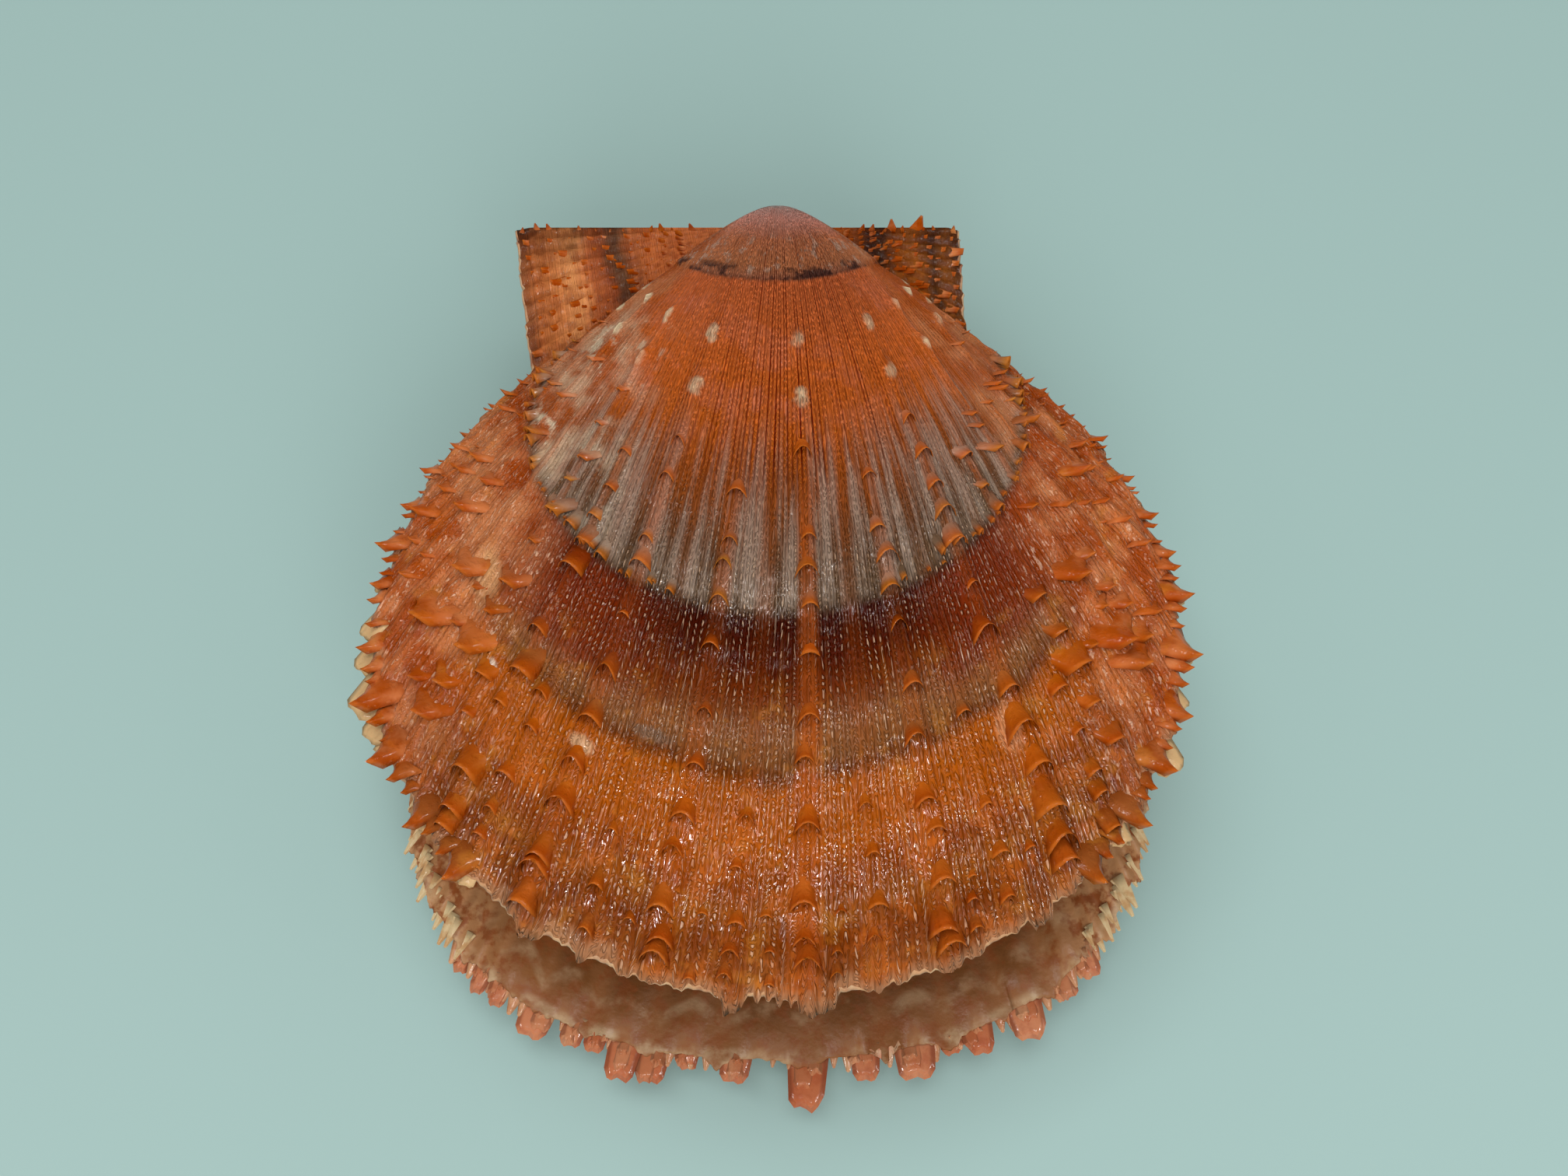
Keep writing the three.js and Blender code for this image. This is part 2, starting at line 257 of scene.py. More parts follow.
def mesh_piece(name, vertices, faces, attributes, materials, face_material=None, flat=None):
    """A mesh object at the origin from whole arrays: vertices, lists of faces, one number per vertex
    for each attribute, and a material number and flat mark per face."""
    mesh = bpy.data.meshes.new(name)
    mesh.from_pydata(vertices.tolist(), [], faces)
    for material in materials:
        mesh.materials.append(material)
    if face_material is not None:
        mesh.polygons.foreach_set("material_index", face_material.astype(np.int32))
    smooth = np.ones(len(faces), bool) if flat is None else ~flat
    mesh.polygons.foreach_set("use_smooth", smooth)
    for label, values in attributes.items():
        layer = mesh.attributes.new(label, "FLOAT", "POINT")
        layer.data.foreach_set("value", np.ascontiguousarray(values, np.float32).ravel())
    mesh.update()
    piece = bpy.data.objects.new(name, mesh)
    bpy.context.scene.collection.objects.link(piece)
    return piece


def valve_grid(valve):
    """Columns and outer growth rows of a valve. Columns run from the left hinge corner down the left
    ear, round the disc and up the right ear. Each has a margin angle, a share down its ear, a side
    of the ear (0 on the disc) and a rise that climbs the wall between ear and disc."""
    count = int(round(2 * valve.flank / RIBLET_PITCH * COLUMNS_PER_RIBLET))
    disc = np.linspace(-valve.flank, valve.flank, count)
    share = np.linspace(0, 1, EAR_RIBLETS * COLUMNS_PER_RIBLET)
    wall = np.array([0.2, 0.5, 0.8])
    ear = len(share) + len(wall)
    angle = np.concatenate([np.full(ear, -valve.flank), disc, np.full(ear, valve.flank)])
    down_ear = np.concatenate([share, np.ones(len(wall) + count + len(wall)), share[::-1]])
    side = np.concatenate([np.full(ear, -1), np.zeros(count), np.full(ear, 1)])
    climb = np.concatenate([np.zeros(len(share)), wall, np.ones(count), wall[::-1], np.zeros(len(share))])
    rise = valve.ear_rise + (1 - valve.ear_rise) * climb
    growth = np.linspace(0.17, 1, valve.outer_rows) ** 1.25
    growth = (growth - growth[0]) / (1 - growth[0]) * 0.97 + 0.03
    return SimpleNamespace(
        angle=angle, down_ear=down_ear, side=side, rise=rise, climb=climb, growth=growth
    )


def ear_margin(valve, grid):
    """Free edge of the ears: a straight line from the hinge corner to the notch, by the share down."""
    left, right = valve.left_ear, valve.right_ear
    corner, notch, depth = [np.where(grid.side < 0, a, b) for a, b in zip(left, right)]
    return grid.side * (corner + (notch - corner) * grid.down_ear), depth * grid.down_ear


def ragged_edge(angle, pitch, seed):
    """Broken edge: random heights from -1 to 1 every few degrees, joined by straight lines."""
    knots = np.radians(np.arange(-150, 151, pitch))
    return np.interp(angle, knots, np.random.default_rng(seed).uniform(-1, 1, len(knots)))


def lip_flakes(angle):
    """Thin flakes that the upper margin carries on its ventral side: flat steps, each with an angle and
    a half width in degrees and a length in mm."""
    middle, half, length = np.array(LIP_FLAKES).T[..., None]
    off = np.abs(np.degrees(angle)[None, :] - middle) / half
    return np.max(length * (1 - smoothstep(off, 0.75, 1.15)), axis=0)


def outer_face(valve, grid):
    """Outer face on the whole grid: the disc or ear surface, raised along its normal by the relief.
    Ears carry riblets that fan out from the umbo and rise towards the free edge. The margin is
    drawn out by the ribs and riblets and broken at random."""
    growth = grid.growth[:, None]
    on_disc = grid.side == 0
    disc = disc_point(valve, grid.angle[None, :], growth)
    across, down = ear_margin(valve, grid)
    ear = grown_point(valve, across[None, :], down[None, :], growth, grid.rise[None, :], 0.0)
    smooth = np.where(on_disc[None, :, None], disc, ear)
    along, side = np.gradient(smooth, axis=0), np.gradient(smooth, axis=1)
    out = unit(np.cross(side, along))
    ear_lines = 0.24 * np.cos(FULL_TURN * EAR_RIBLETS * grid.down_ear)[None, :]
    uneven = 1 + 0.5 * np.sin(growth * 120 + 4 * grid.down_ear[None, :])
    ear_lines = ear_lines * smoothstep(growth, 0.1, 0.6) * uneven + 0.06 * np.sin(growth * 95)
    ear_lines = ear_lines * (1 - grid.climb)[None, :] * smoothstep(grid.down_ear, 0.0, 0.05)[None, :]
    height = np.where(on_disc[None, :], relief(valve, grid.angle[None, :], growth), ear_lines)
    thinning = 0.45 * smoothstep(growth, 0.94, 1.0)
    points = smooth + out * (height - thinning)[..., None]
    crest, _ = rib_share(valve, row_at(grid.angle[None, :]), growth)
    riblet = np.cos(FULL_TURN * (grid.angle - MIDDLE_ROW) / RIBLET_PITCH)[None, :]
    frill = valve.frill * crest + 0.1 * riblet
    broken = 0.3 * ragged_edge(grid.angle, 1.0, 5) + 0.35 * ragged_edge(grid.angle, 4.0, 6)
    if valve.side > 0:
        broken = np.maximum(broken, lip_flakes(grid.angle))
    frill = (frill + broken[None, :]) * smoothstep(growth, 0.955, 1.0) * on_disc[None, :]
    edge = 0.25 * ragged_edge(grid.down_ear * 2.0 + grid.side, 3.0, 7)[None, :] * ~on_disc[None, :]
    frill = frill + edge * smoothstep(growth, 0.95, 1.0) * smoothstep(grid.down_ear, 0.02, 0.1)[None, :]
    return points + unit(along) * frill[..., None]


def inner_face(valve, grid, growth):
    """Inner face: the smooth disc less the wall, flat on the hinge plate and the ears, with grooves
    under the ribs that deepen to the margin."""
    growth = growth[:, None]
    disc = disc_point(valve, grid.angle[None, :], growth)
    across, down = ear_margin(valve, grid)
    ear = grown_point(valve, across[None, :], down[None, :], growth, grid.rise[None, :], 0.0)
    on_disc = grid.side == 0
    points = np.where(on_disc[None, :, None], disc, ear)
    wall = WALL_THICKNESS + UMBO_THICKENING * np.exp(-((growth / UMBO_SPREAD) ** 2))
    hollow = smoothstep(points[..., 1], HINGE_PLATE, HINGE_PLATE + HINGE_PLATE_FADE)
    depth = np.maximum(0.0, points[..., 2] - wall) * hollow
    groove = np.cos(FULL_TURN * row_at(grid.angle))[None, :] * 0.5 + 0.5
    groove = groove * valve.groove * growth**4
    points[..., 2] = np.where(on_disc[None, :], depth + groove, 0.0)
    return points


def valve_piece(name, valve, materials):
    """One valve as a closed sheet: outer rows, two rounded rim rows and inner rows on the same columns,
    a pole at each end, and a strip of faces along each half of the hinge edge."""
    grid = valve_grid(valve)
    skip = valve.rows_per_inner_row
    inner_growth = grid.growth[skip - 1 :: skip]
    outer = outer_face(valve, grid)
    inner = inner_face(valve, grid, inner_growth)
    reach = unit(outer[-1] - outer[-2]) * 0.18
    rim = [outer[-1] * (1 - s) + inner[-1] * s + reach for s in (0.3, 0.7)]
    rows = np.concatenate([outer, np.array(rim), inner[::-1]])
    count, columns = rows.shape[:2]
    growth = np.concatenate([grid.growth, [1, 1], inner_growth[::-1]])
    poles = np.array([[0, 0, MARGIN_THICKNESS], [0, 0, 0]], float)
    points = np.concatenate([rows.reshape(-1, 3), poles])

    index = np.arange(count * columns).reshape(count, columns)
    a, b, c, d = index[:-1, :-1], index[1:, :-1], index[1:, 1:], index[:-1, 1:]
    quads = np.stack([a, b, c, d], axis=-1).reshape(-1, 4)
    outer_pole, inner_pole = count * columns, count * columns + 1
    cap = np.stack([np.full(columns - 1, outer_pole), index[0, :-1], index[0, 1:]], axis=-1)
    floor_cap = np.stack([index[-1, :-1], np.full(columns - 1, inner_pole), index[-1, 1:]], axis=-1)
    faces = quads.tolist() + cap.tolist() + floor_cap.tolist()
    outside = len(grid.growth)
    inside_quads = np.repeat(np.arange(count - 1) >= outside - 1, columns - 1)
    kind = np.concatenate([inside_quads, np.zeros(columns - 1), np.ones(columns - 1)])
    edges = 0
    for column, turned in ((0, False), (columns - 1, True)):
        chain_out = index[:outside, column].tolist()
        chain_in = index[outside + 2 :, column][::-1].tolist()
        strips = [[inner_pole, chain_in[0], *chain_out[skip - 1 :: -1], outer_pole]]
        for k in range(1, len(chain_in)):
            upto = chain_out[skip * k - 1 : skip * (k + 1)]
            strips.append([chain_in[k - 1], chain_in[k], *upto[::-1]])
        strips.append([chain_in[-1], *index[outside : outside + 2, column][::-1].tolist(), chain_out[-1]])
        faces += [strip[::-1] if turned else strip for strip in strips]
        edges += len(strips)
    kind = np.concatenate([kind, np.zeros(edges)])
    if valve.side < 0:
        faces = [face[::-1] for face in faces]
    flat = np.zeros(len(faces), bool)
    flat[-edges:] = True

    def spread(values):
        """One number for every point of the grid, and 0 at the two poles."""
        return np.concatenate([np.broadcast_to(values, (count, columns)).ravel(), [0, 0]])

    attributes = {
        "growth": spread(growth[:, None]),
        "stage": spread(stage_at(valve, grid.angle[None, :], growth[:, None])),
        "row": spread(row_at(grid.angle)[None, :]),
        "riblet": spread(((grid.angle - MIDDLE_ROW) / RIBLET_PITCH)[None, :]),
        "flank": spread((grid.angle / valve.flank)[None, :]),
        "ear": spread((1 - grid.climb)[None, :]),
        "down_ear": spread(grid.down_ear[None, :]),
    }
    placed = to_row_frame(points, valve)
    return mesh_piece(name, placed, faces, attributes, materials, kind, flat)


def scale_frames(valve, margin_angle, growth):
    """Foot of a scale on the disc and its three directions: along growth, across it, and outwards.
    Directions are the unit differences of nearby points of the smooth face."""
    near, wide = 0.004, 0.01
    foot = disc_point(valve, margin_angle, growth)
    along = unit(foot - disc_point(valve, margin_angle, growth - near))
    beside = disc_point(valve, margin_angle + wide, growth)
    across = beside - disc_point(valve, margin_angle - wide, growth)
    across = unit(across - along * np.sum(across * along, axis=-1, keepdims=True))
    out = unit(np.cross(across, along))
    crest, height = rib_share(valve, row_at(margin_angle), growth)
    return foot + out * (height * crest * grown_share(growth))[..., None], along, across, out


SCALE_ACROSS = np.linspace(-1, 1, 7)
SCALE_ALONG = np.array([0.0, 0.35, 0.65, 0.86, 1.0])
VALVE_LENGTH = 72.0

# Growth at which the upper valve sets a hood on each row.
STATIONS = np.array(
    [0.435, 0.485, 0.525, 0.56, 0.592, 0.645, 0.715, 0.775, 0.83, 0.88, 0.93, 0.965, 0.992]
)


def scale_sheets(foot, along, across, out, shape):
    """Thin scales, all at once, on a grid of u across from -1 to 1 and v from root to lip.
    The sheet arches over the rib by a power of 1 - u^2, rises with a power of v, and its sides drop by
    u^2 to meet the shell. Its width runs from a root share to the full lip. A point of 1 tapers it
    to a thorn while 0 leaves an open hood, and a lobe below 0 sets the middle of the lip back. The
    under side is the same sheet less its thickness. Returns points, quads, flat marks, and the
    shares v and u of each point."""

    def get(label):
        """One number per scale, spread over its grid."""
        return shape[label][:, None, None]

    u, v = SCALE_ACROSS[None, None, :], SCALE_ALONG[None, :, None]
    taper = 1 - 0.96 * get("point") * v**0.95
    arch = np.maximum(1 - u**2, 0.0) ** get("round")
    spread = get("width") / 2 * (get("root") + (1 - get("root")) * v) * taper
    lift = get("height") * v ** get("curl")
    rise = lift * (arch * (1 - get("stand")) + get("stand"))
    rise = rise - get("sink") * (1 - v) ** 2 - get("skirt") * u**2 * (1 - get("point") * v)
    ragged = get("lobe") * (1 - u**2) + get("ragged") * np.sin(5.2 * u + 9 * get("lobe") + get("width"))
    run = get("length") * v * (1 + ragged * v)
    thick = get("thickness") * (1 - get("thin") * v)

    def sheet(back, narrow, drop):
        """The sheet's points, set back at the lip, narrower and lower by these lengths."""
        parts = [run - back, (spread - narrow) * u, rise - drop]
        moved = sum(p[..., None] * e[:, None, None, :] for p, e in zip(parts, (along, across, out)))
        return foot[:, None, None, :] + moved

    top = sheet(0.0, 0.0, 0.0)
    under = sheet(thick * 0.5 * v**4, thick * 0.45, thick * (0.35 + 0.65 * arch))
    wide, long = len(SCALE_ACROSS), len(SCALE_ALONG)
    size = wide * long
    one = np.arange(size).reshape(long, wide)
    grid = np.stack([one[:-1, :-1], one[1:, :-1], one[1:, 1:], one[:-1, 1:]], axis=-1).reshape(-1, 4)
    loop = np.concatenate([one[0, :], one[1:, -1], one[-1, -2::-1], one[-2:0:-1, 0]])
    border = np.stack([loop, np.roll(loop, -1), np.roll(loop, -1) + size, loop + size], axis=-1)
    quads = np.concatenate([grid, grid[:, ::-1] + size, border])
    count = len(foot)
    points = np.concatenate([top.reshape(count, size, 3), under.reshape(count, size, 3)], axis=1)
    every = (quads[None] + (np.arange(count) * 2 * size)[:, None, None]).reshape(-1, 4)
    flat = np.tile(np.arange(len(quads)) >= 2 * len(grid), count)
    tip = np.tile(np.broadcast_to(v, (1, long, wide)).reshape(1, size), (count, 2))
    aside = np.tile(np.broadcast_to(u, (1, long, wide)).reshape(1, size), (count, 2))
    return points.reshape(-1, 3), every, flat, tip.ravel(), aside.ravel()


def scales_piece(name, valve, foot, along, across, out, shape, traits, material):
    """All scales of a valve as one piece. Traits are one number per scale, carried to its points."""
    points, quads, flat, tip, aside = scale_sheets(foot, along, across, out, shape)
    if valve.side < 0:
        quads = quads[:, ::-1]
    per = 2 * len(SCALE_ACROSS) * len(SCALE_ALONG)
    attributes = {"tip": tip, "aside": aside}
    attributes.update({label: np.repeat(values, per) for label, values in traits.items()})
    attributes["stage"] = attributes["stage"] + tip * np.repeat(shape["length"], per) / VALVE_LENGTH
    placed = to_row_frame(points, valve)
    return mesh_piece(name, placed, quads.tolist(), attributes, [material], None, flat)


def joined(layouts):
    """Several scale layouts as one: feet, directions, shapes and traits end to end."""

    def end_to_end(tables):
        """Tables of the same labels as one."""
        return {label: np.concatenate([table[label] for table in tables]) for label in tables[0]}

    *arrays, shapes, traits = zip(*layouts)
    return (*map(np.concatenate, arrays), end_to_end(shapes), end_to_end(traits))


PLAIN_SCALE = {
    "point": 0.9, "stand": 0.1, "curl": 1.6, "sink": 0.3, "skirt": 0.2, "lobe": 0.0, "ragged": 0.0,
    "thickness": 0.3, "thin": 0.5, "root": 1.1, "round": 0.8,
}


def with_traits(feet, shape, angle, growth, stage, flank, pale, rng):
    """One layout: feet with their directions, shapes over the plain scale's, and what each one carries.
    Single numbers hold for every scale."""

    def every(value):
        """The value for each scale."""
        return np.broadcast_to(np.asarray(value, float), angle.shape)

    full = {label: every(value) for label, value in {**PLAIN_SCALE, **shape}.items()}
    traits = {"growth": growth, "flank": flank, "stage": stage, "row": row_at(angle), "pale": pale}
    traits["riblet"] = (angle - MIDDLE_ROW) / RIBLET_PITCH
    traits["chance"] = rng.random(len(angle))
    return *feet, full, {label: every(value) for label, value in traits.items()}


def laid(valve, angle, growth, shape, pale, rng, drop=0.0):
    """A layout on the disc from margin angles, growths and shapes. A drop sets feet below the face."""
    foot, along, across, out = scale_frames(valve, angle, growth)
    feet = (foot - out * drop, along, across, out)
    stage, flank = stage_at(valve, angle, growth), angle / valve.flank
    return with_traits(feet, shape, angle, growth, stage, flank, pale, rng)


def dorsal_share(angle):
    """Size of scales by angle: full on the ventral side, small on the dorsal shoulders."""
    return 1 - 0.68 * smoothstep(np.abs(angle), math.radians(72), math.radians(128))


def upper_hoods(valve, rng):
    """Hoods on the rows, one at each growth station from where a row's rank begins. Each rises out of
    the rib like a roof tile, and they grow with the shell. On the flanks they are fewer, broader,
    of many sizes and drawn out to a raised point."""

    def by_rank(*values):
        """A value for each rank of rows: main, small, middle, small, and between rows."""
        return np.array(values)[rank]

    rows = np.concatenate([np.arange(FIRST_ROW + 1, LAST_ROW), np.arange(-4, 5) + 0.5])
    rows, stations = [a.ravel() for a in np.meshgrid(rows, STATIONS, indexing="ij")]
    rank = np.where(rows == np.rint(rows), np.abs(rows) % 4, 4).astype(int)
    angle = row_angle(rows)
    flank = smoothstep(np.abs(angle), math.radians(42), math.radians(72))
    early, late = by_rank(0.42, 0.74, 0.45, 0.74, 0.9), by_rank(0.42, 0.76, 0.5, 0.76, 2.0)
    start = early * (1 - flank) + late * flank
    growth = stations + flank_lag(valve, angle) * (1 - (stations - 0.4) / 0.5).clip(0, 1)
    growth = growth + rng.uniform(-0.011, 0.011, len(rows))
    ventral_chance = by_rank(0.94, 0.72, 0.92, 0.72, 0.45)
    flank_chance = np.where(stations < 0.6, 0.8, by_rank(0.75, 0.42, 0.75, 0.42, 0.0))
    chance = ventral_chance * (1 - flank) + flank_chance * flank
    keep = (stations >= start) & (growth <= 0.998) & (rng.random(len(rows)) < chance)
    keep = keep & ~((flank > 0.5) & (stations > 0.96))
    rank, angle, flank, growth = [a[keep] for a in (rank, angle, flank, growth)]
    count = len(angle)
    young = 1 - smoothstep(growth, 0.5, 0.75)
    spread = rng.uniform(-1, 1, count) * (0.22 + 0.28 * flank * (1 - young))
    size = grown_share(growth) * (1 + spread) * dorsal_share(angle) * (1 - 0.25 * young * flank)
    shape = {
        "width": by_rank(3.1, 1.9, 2.9, 1.9, 1.3) * size * (1 + 0.8 * flank),
        "length": by_rank(4.3, 2.7, 4.0, 2.7, 1.8) * size * (1 - 0.46 * flank),
        "height": by_rank(1.4, 0.85, 1.25, 0.85, 0.6) * size * (1 + 0.45 * flank) * (1 - 0.25 * young),
        "point": np.clip(0.02 + 0.8 * flank + rng.uniform(-0.1, 0.1, count), 0, 0.97),
        "stand": 0.03 + 0.1 * flank,
        "curl": rng.uniform(1.7, 2.4, count),
        "sink": 0.4,
        "skirt": by_rank(0.75, 0.4, 0.65, 0.4, 0.25) * size,
        "lobe": rng.uniform(-0.42, -0.2, count) * (1 - flank),
        "thickness": 0.26 * (0.5 + 0.5 * growth),
        "root": 0.55 + 0.75 * flank,
        "round": 0.6 + 0.3 * flank,
    }
    root = growth - shape["length"] / np.hypot(*disc_margin(valve, angle)) * 0.9
    return laid(valve, angle + rng.uniform(-0.012, 0.012, count), root, shape, 0.0, rng)


def margin_thorns(valve, rng):
    """Thorns along the lateral margins, one large and two small by turns, with raised tips. They
    shrink to a fine saw edge on the dorsal shoulders."""
    side = np.concatenate([np.arange(48, 96, 3.2), np.arange(96, 139, 2.4)])
    turns = np.arange(len(side)) % 3
    angle = np.radians(np.concatenate([side, -side - 1.0])) + rng.uniform(-0.018, 0.018, 2 * len(side))
    size = np.tile(np.array([1.0, 0.45, 0.6])[turns], 2) * rng.uniform(0.75, 1.25, len(angle))
    size = size * dorsal_share(angle)
    shape = {
        "width": 4.2 * size, "length": 3.3 * size, "height": 2.3 * size, "skirt": 0.7 * size, "sink": 0.4,
        "point": rng.uniform(0.85, 1.0, len(angle)), "curl": rng.uniform(1.6, 2.3, len(angle)),
        "root": 1.25,
    }
    root = 1 - shape["length"] / np.hypot(*disc_margin(valve, angle)) * 0.52
    return laid(valve, angle, root, shape, 0.0, rng)


def ear_spikes(_, rng):
    """Short spikes that stand up along the hinge edge of the ears, higher on the right one."""
    across = np.concatenate([np.arange(-24, -8, 1.3), np.arange(6.5, 17, 1.1)])
    across = across + rng.uniform(-0.45, 0.45, len(across))
    size = np.where(across > 0, 1.0, 0.65) * rng.uniform(0.4, 1.35, len(across))
    foot = np.stack([across, np.full(len(across), 0.55), np.full(len(across), 0.8)], axis=-1)
    lean = rng.uniform(-0.4, 0.4, len(across))
    along = unit(np.stack([lean, np.full(len(across), -0.75), np.full(len(across), 0.65)], axis=-1))
    sideways = unit(np.cross(along, np.array([0.0, 0.65, 0.75])))
    out = unit(np.cross(sideways, along))
    shape = {"width": 1.3 * size, "length": 1.45 * size, "height": 0.3 * size, "sink": 0.1, "skirt": 0.1}
    feet = (foot, along, sideways, out)
    return with_traits(feet, shape, np.zeros(len(across)), 0.8, 0.85, np.sign(across), 0.0, rng)


def ear_scales(valve, rng):
    """Small raised scales on the ears' riblets, in rows that fan out from the umbo."""

    def at(where, stage):
        """Point of the ear's outer face."""
        return grown_point(valve, *ear_margin(valve, where), stage, valve.ear_rise, 0.0)

    lines, stations = np.arange(1, EAR_RIBLETS), np.arange(0.36, 0.93, 0.07)
    side, line, growth = [a.ravel() for a in np.meshgrid([-1, 1], lines, stations, indexing="ij")]
    growth = growth + rng.uniform(-0.025, 0.02, len(growth))
    grid = SimpleNamespace(side=side, down_ear=line / EAR_RIBLETS)
    nearby = SimpleNamespace(side=side, down_ear=line / EAR_RIBLETS + 0.02)
    foot = at(grid, growth)
    along = unit(at(grid, growth + 0.01) - foot)
    out = unit(np.cross(at(nearby, growth) - foot, along)) * -side[:, None]
    across = np.cross(along, out)
    size = (0.35 + 0.65 * growth) * rng.uniform(0.6, 1.3, len(growth))
    shape = {"width": 1.1 * size, "length": 1.3 * size, "height": 0.42 * size}
    shape.update({"point": 0.55, "skirt": 0.3, "sink": 0.2})
    feet = (foot + out * 0.15, along, across, out)
    return with_traits(feet, shape, np.zeros(len(growth)), growth, 0.85, side, 0.0, rng)


def ledge_scales(valve, rng):
    """Small scales along the old ledge, between the rows and on the flanks."""
    angle = np.radians(np.concatenate([np.arange(-126, -24, 3.8), np.arange(30, 126, 3.8)]))
    angle = angle + rng.uniform(-0.04, 0.04, len(angle))
    growth = 0.596 + flank_lag(valve, angle) + rng.uniform(-0.006, 0.006, len(angle))
    size = rng.uniform(0.4, 1.25, len(angle))
    shape = {
        "width": 1.6 * size, "length": 1.8 * size, "height": 0.75 * size,
        "point": rng.uniform(0.3, 0.9, len(angle)), "lobe": -0.2, "root": 0.8, "skirt": 0.3,
    }
    return laid(valve, angle, growth - 0.8 * shape["length"] / 60, shape, 0.0, rng, drop=-0.1)


def upper_flakes(valve, rng):
    """Thin cream flakes of the inner lip that stand out under the lateral margins."""
    degrees, width, length = np.array(SIDE_FLAKES).T
    angle = np.radians(degrees)
    shape = {
        "width": width, "length": length, "height": 0.12, "point": 0.1, "stand": 0.8, "curl": 1.2,
        "sink": 0.1, "skirt": 0.12, "lobe": rng.uniform(0.0, 0.3, len(angle)), "ragged": 0.06,
        "root": 0.9,
    }
    return laid(valve, angle, np.full(len(angle), 0.988), shape, 0.8, rng, drop=0.6)


def upper_scale_layout(valve, rng):
    """Everything that stands on the upper valve."""
    parts = (upper_hoods, margin_thorns, ledge_scales, upper_flakes, ear_spikes, ear_scales)
    return joined([part(valve, rng) for part in parts])


def finger_scales(valve, rng):
    """Finger scales on the ventral margin in three layers, each a blunt thick tongue."""
    degrees, width, length = np.array(FINGERS).T
    layer = np.repeat([0, 1, 2], len(degrees))
    count = len(layer)
    turned = np.radians(rng.uniform(-1.6, 1.6, count)) * (layer > 0)
    angle = np.radians(np.tile(degrees, 3)) + turned
    shape = {
        "width": np.tile(width, 3) * np.array([1.15, 0.75, 0.55])[layer],
        "length": np.tile(length, 3) * np.array([0.95, 0.8, 0.55])[layer] * rng.uniform(0.85, 1.1, count),
        "height": 0.5 - 0.4 * layer, "point": 0.14, "stand": 0.65, "curl": 1.4, "sink": 0.0, "root": 1.05,
        "lobe": rng.uniform(0.12, 0.26, count), "ragged": 0.08, "thickness": 0.5, "thin": -0.2,
        "round": 0.6,
    }
    return laid(valve, angle, np.full(count, 0.99), shape, layer * 0.1, rng, drop=-0.1)


def lip_teeth(valve, rng):
    """Small teeth on the lower ventral margin, a little under two degrees apart."""
    angle = np.radians(np.arange(-56, 57, 1.9))
    angle = angle + rng.uniform(-0.012, 0.012, len(angle))
    size = rng.uniform(0.6, 1.3, len(angle))
    shape = {
        "width": 1.6 * size, "length": 2.0 * size, "height": 0.3, "point": 0.8, "stand": 0.6, "curl": 1.3,
        "sink": 0.2, "skirt": 0.1, "lobe": 0.05, "thickness": 0.35, "root": 1.0,
    }
    return laid(valve, angle, np.full(len(angle), 0.992), shape, 0.35, rng)


def side_spikes(valve, rng):
    """Two tiers of cream spikes on the lower lateral margins: one at the rim and one below it that
    stands further out. They shrink towards the dorsal end."""
    side = np.arange(56, 116, 2.3)
    angle = np.radians(np.concatenate([side, -side, side + 1.1, -side - 1.1]))
    angle = angle + rng.uniform(-0.012, 0.012, len(angle))
    upper_tier = np.arange(len(angle)) < 2 * len(side)
    size = rng.uniform(0.65, 1.25, len(angle)) * (1 - 0.6 * smoothstep(np.abs(angle), 1.25, 1.6))
    shape = {
        "width": 1.35 * size, "length": 2.7 * size, "height": np.where(upper_tier, 0.2, 1.1),
        "point": 0.85, "stand": 0.5, "curl": 1.4, "sink": 0.2, "skirt": 0.15, "thickness": 0.45,
        "root": 1.05,
    }
    drop = np.where(upper_tier, 0.5, 0.0)[:, None]
    return laid(valve, angle, np.where(upper_tier, 0.985, 0.955), shape, 1.0, rng, drop)


def low_hoods(valve, rng):
    """Low hoods on the outside of the lower valve, one on each row at five growth stations."""
    stations = [0.68, 0.75, 0.82, 0.88, 0.94]
    rows, growth = np.meshgrid(np.arange(FIRST_ROW + 1, LAST_ROW), stations, indexing="ij")
    angle = row_angle(rows.ravel())
    growth = growth.ravel() + rng.uniform(-0.01, 0.01, len(angle))
    size = rng.uniform(0.75, 1.2, len(angle))
    shape = {
        "width": 2.2 * size, "length": 2.4 * size, "height": 0.9 * size, "point": 0.25, "sink": 0.35,
        "skirt": 0.4, "lobe": -0.15, "root": 0.7, "round": 0.6,
    }
    return laid(valve, angle, growth, shape, 0.5, rng)


def lower_scale_layout(valve, rng):
    """Everything that stands on the lower valve, with the fingers first in the piece."""
    others = [part(valve, rng) for part in (lip_teeth, side_spikes, low_hoods)]
    return joined([finger_scales(valve, rng), *others])


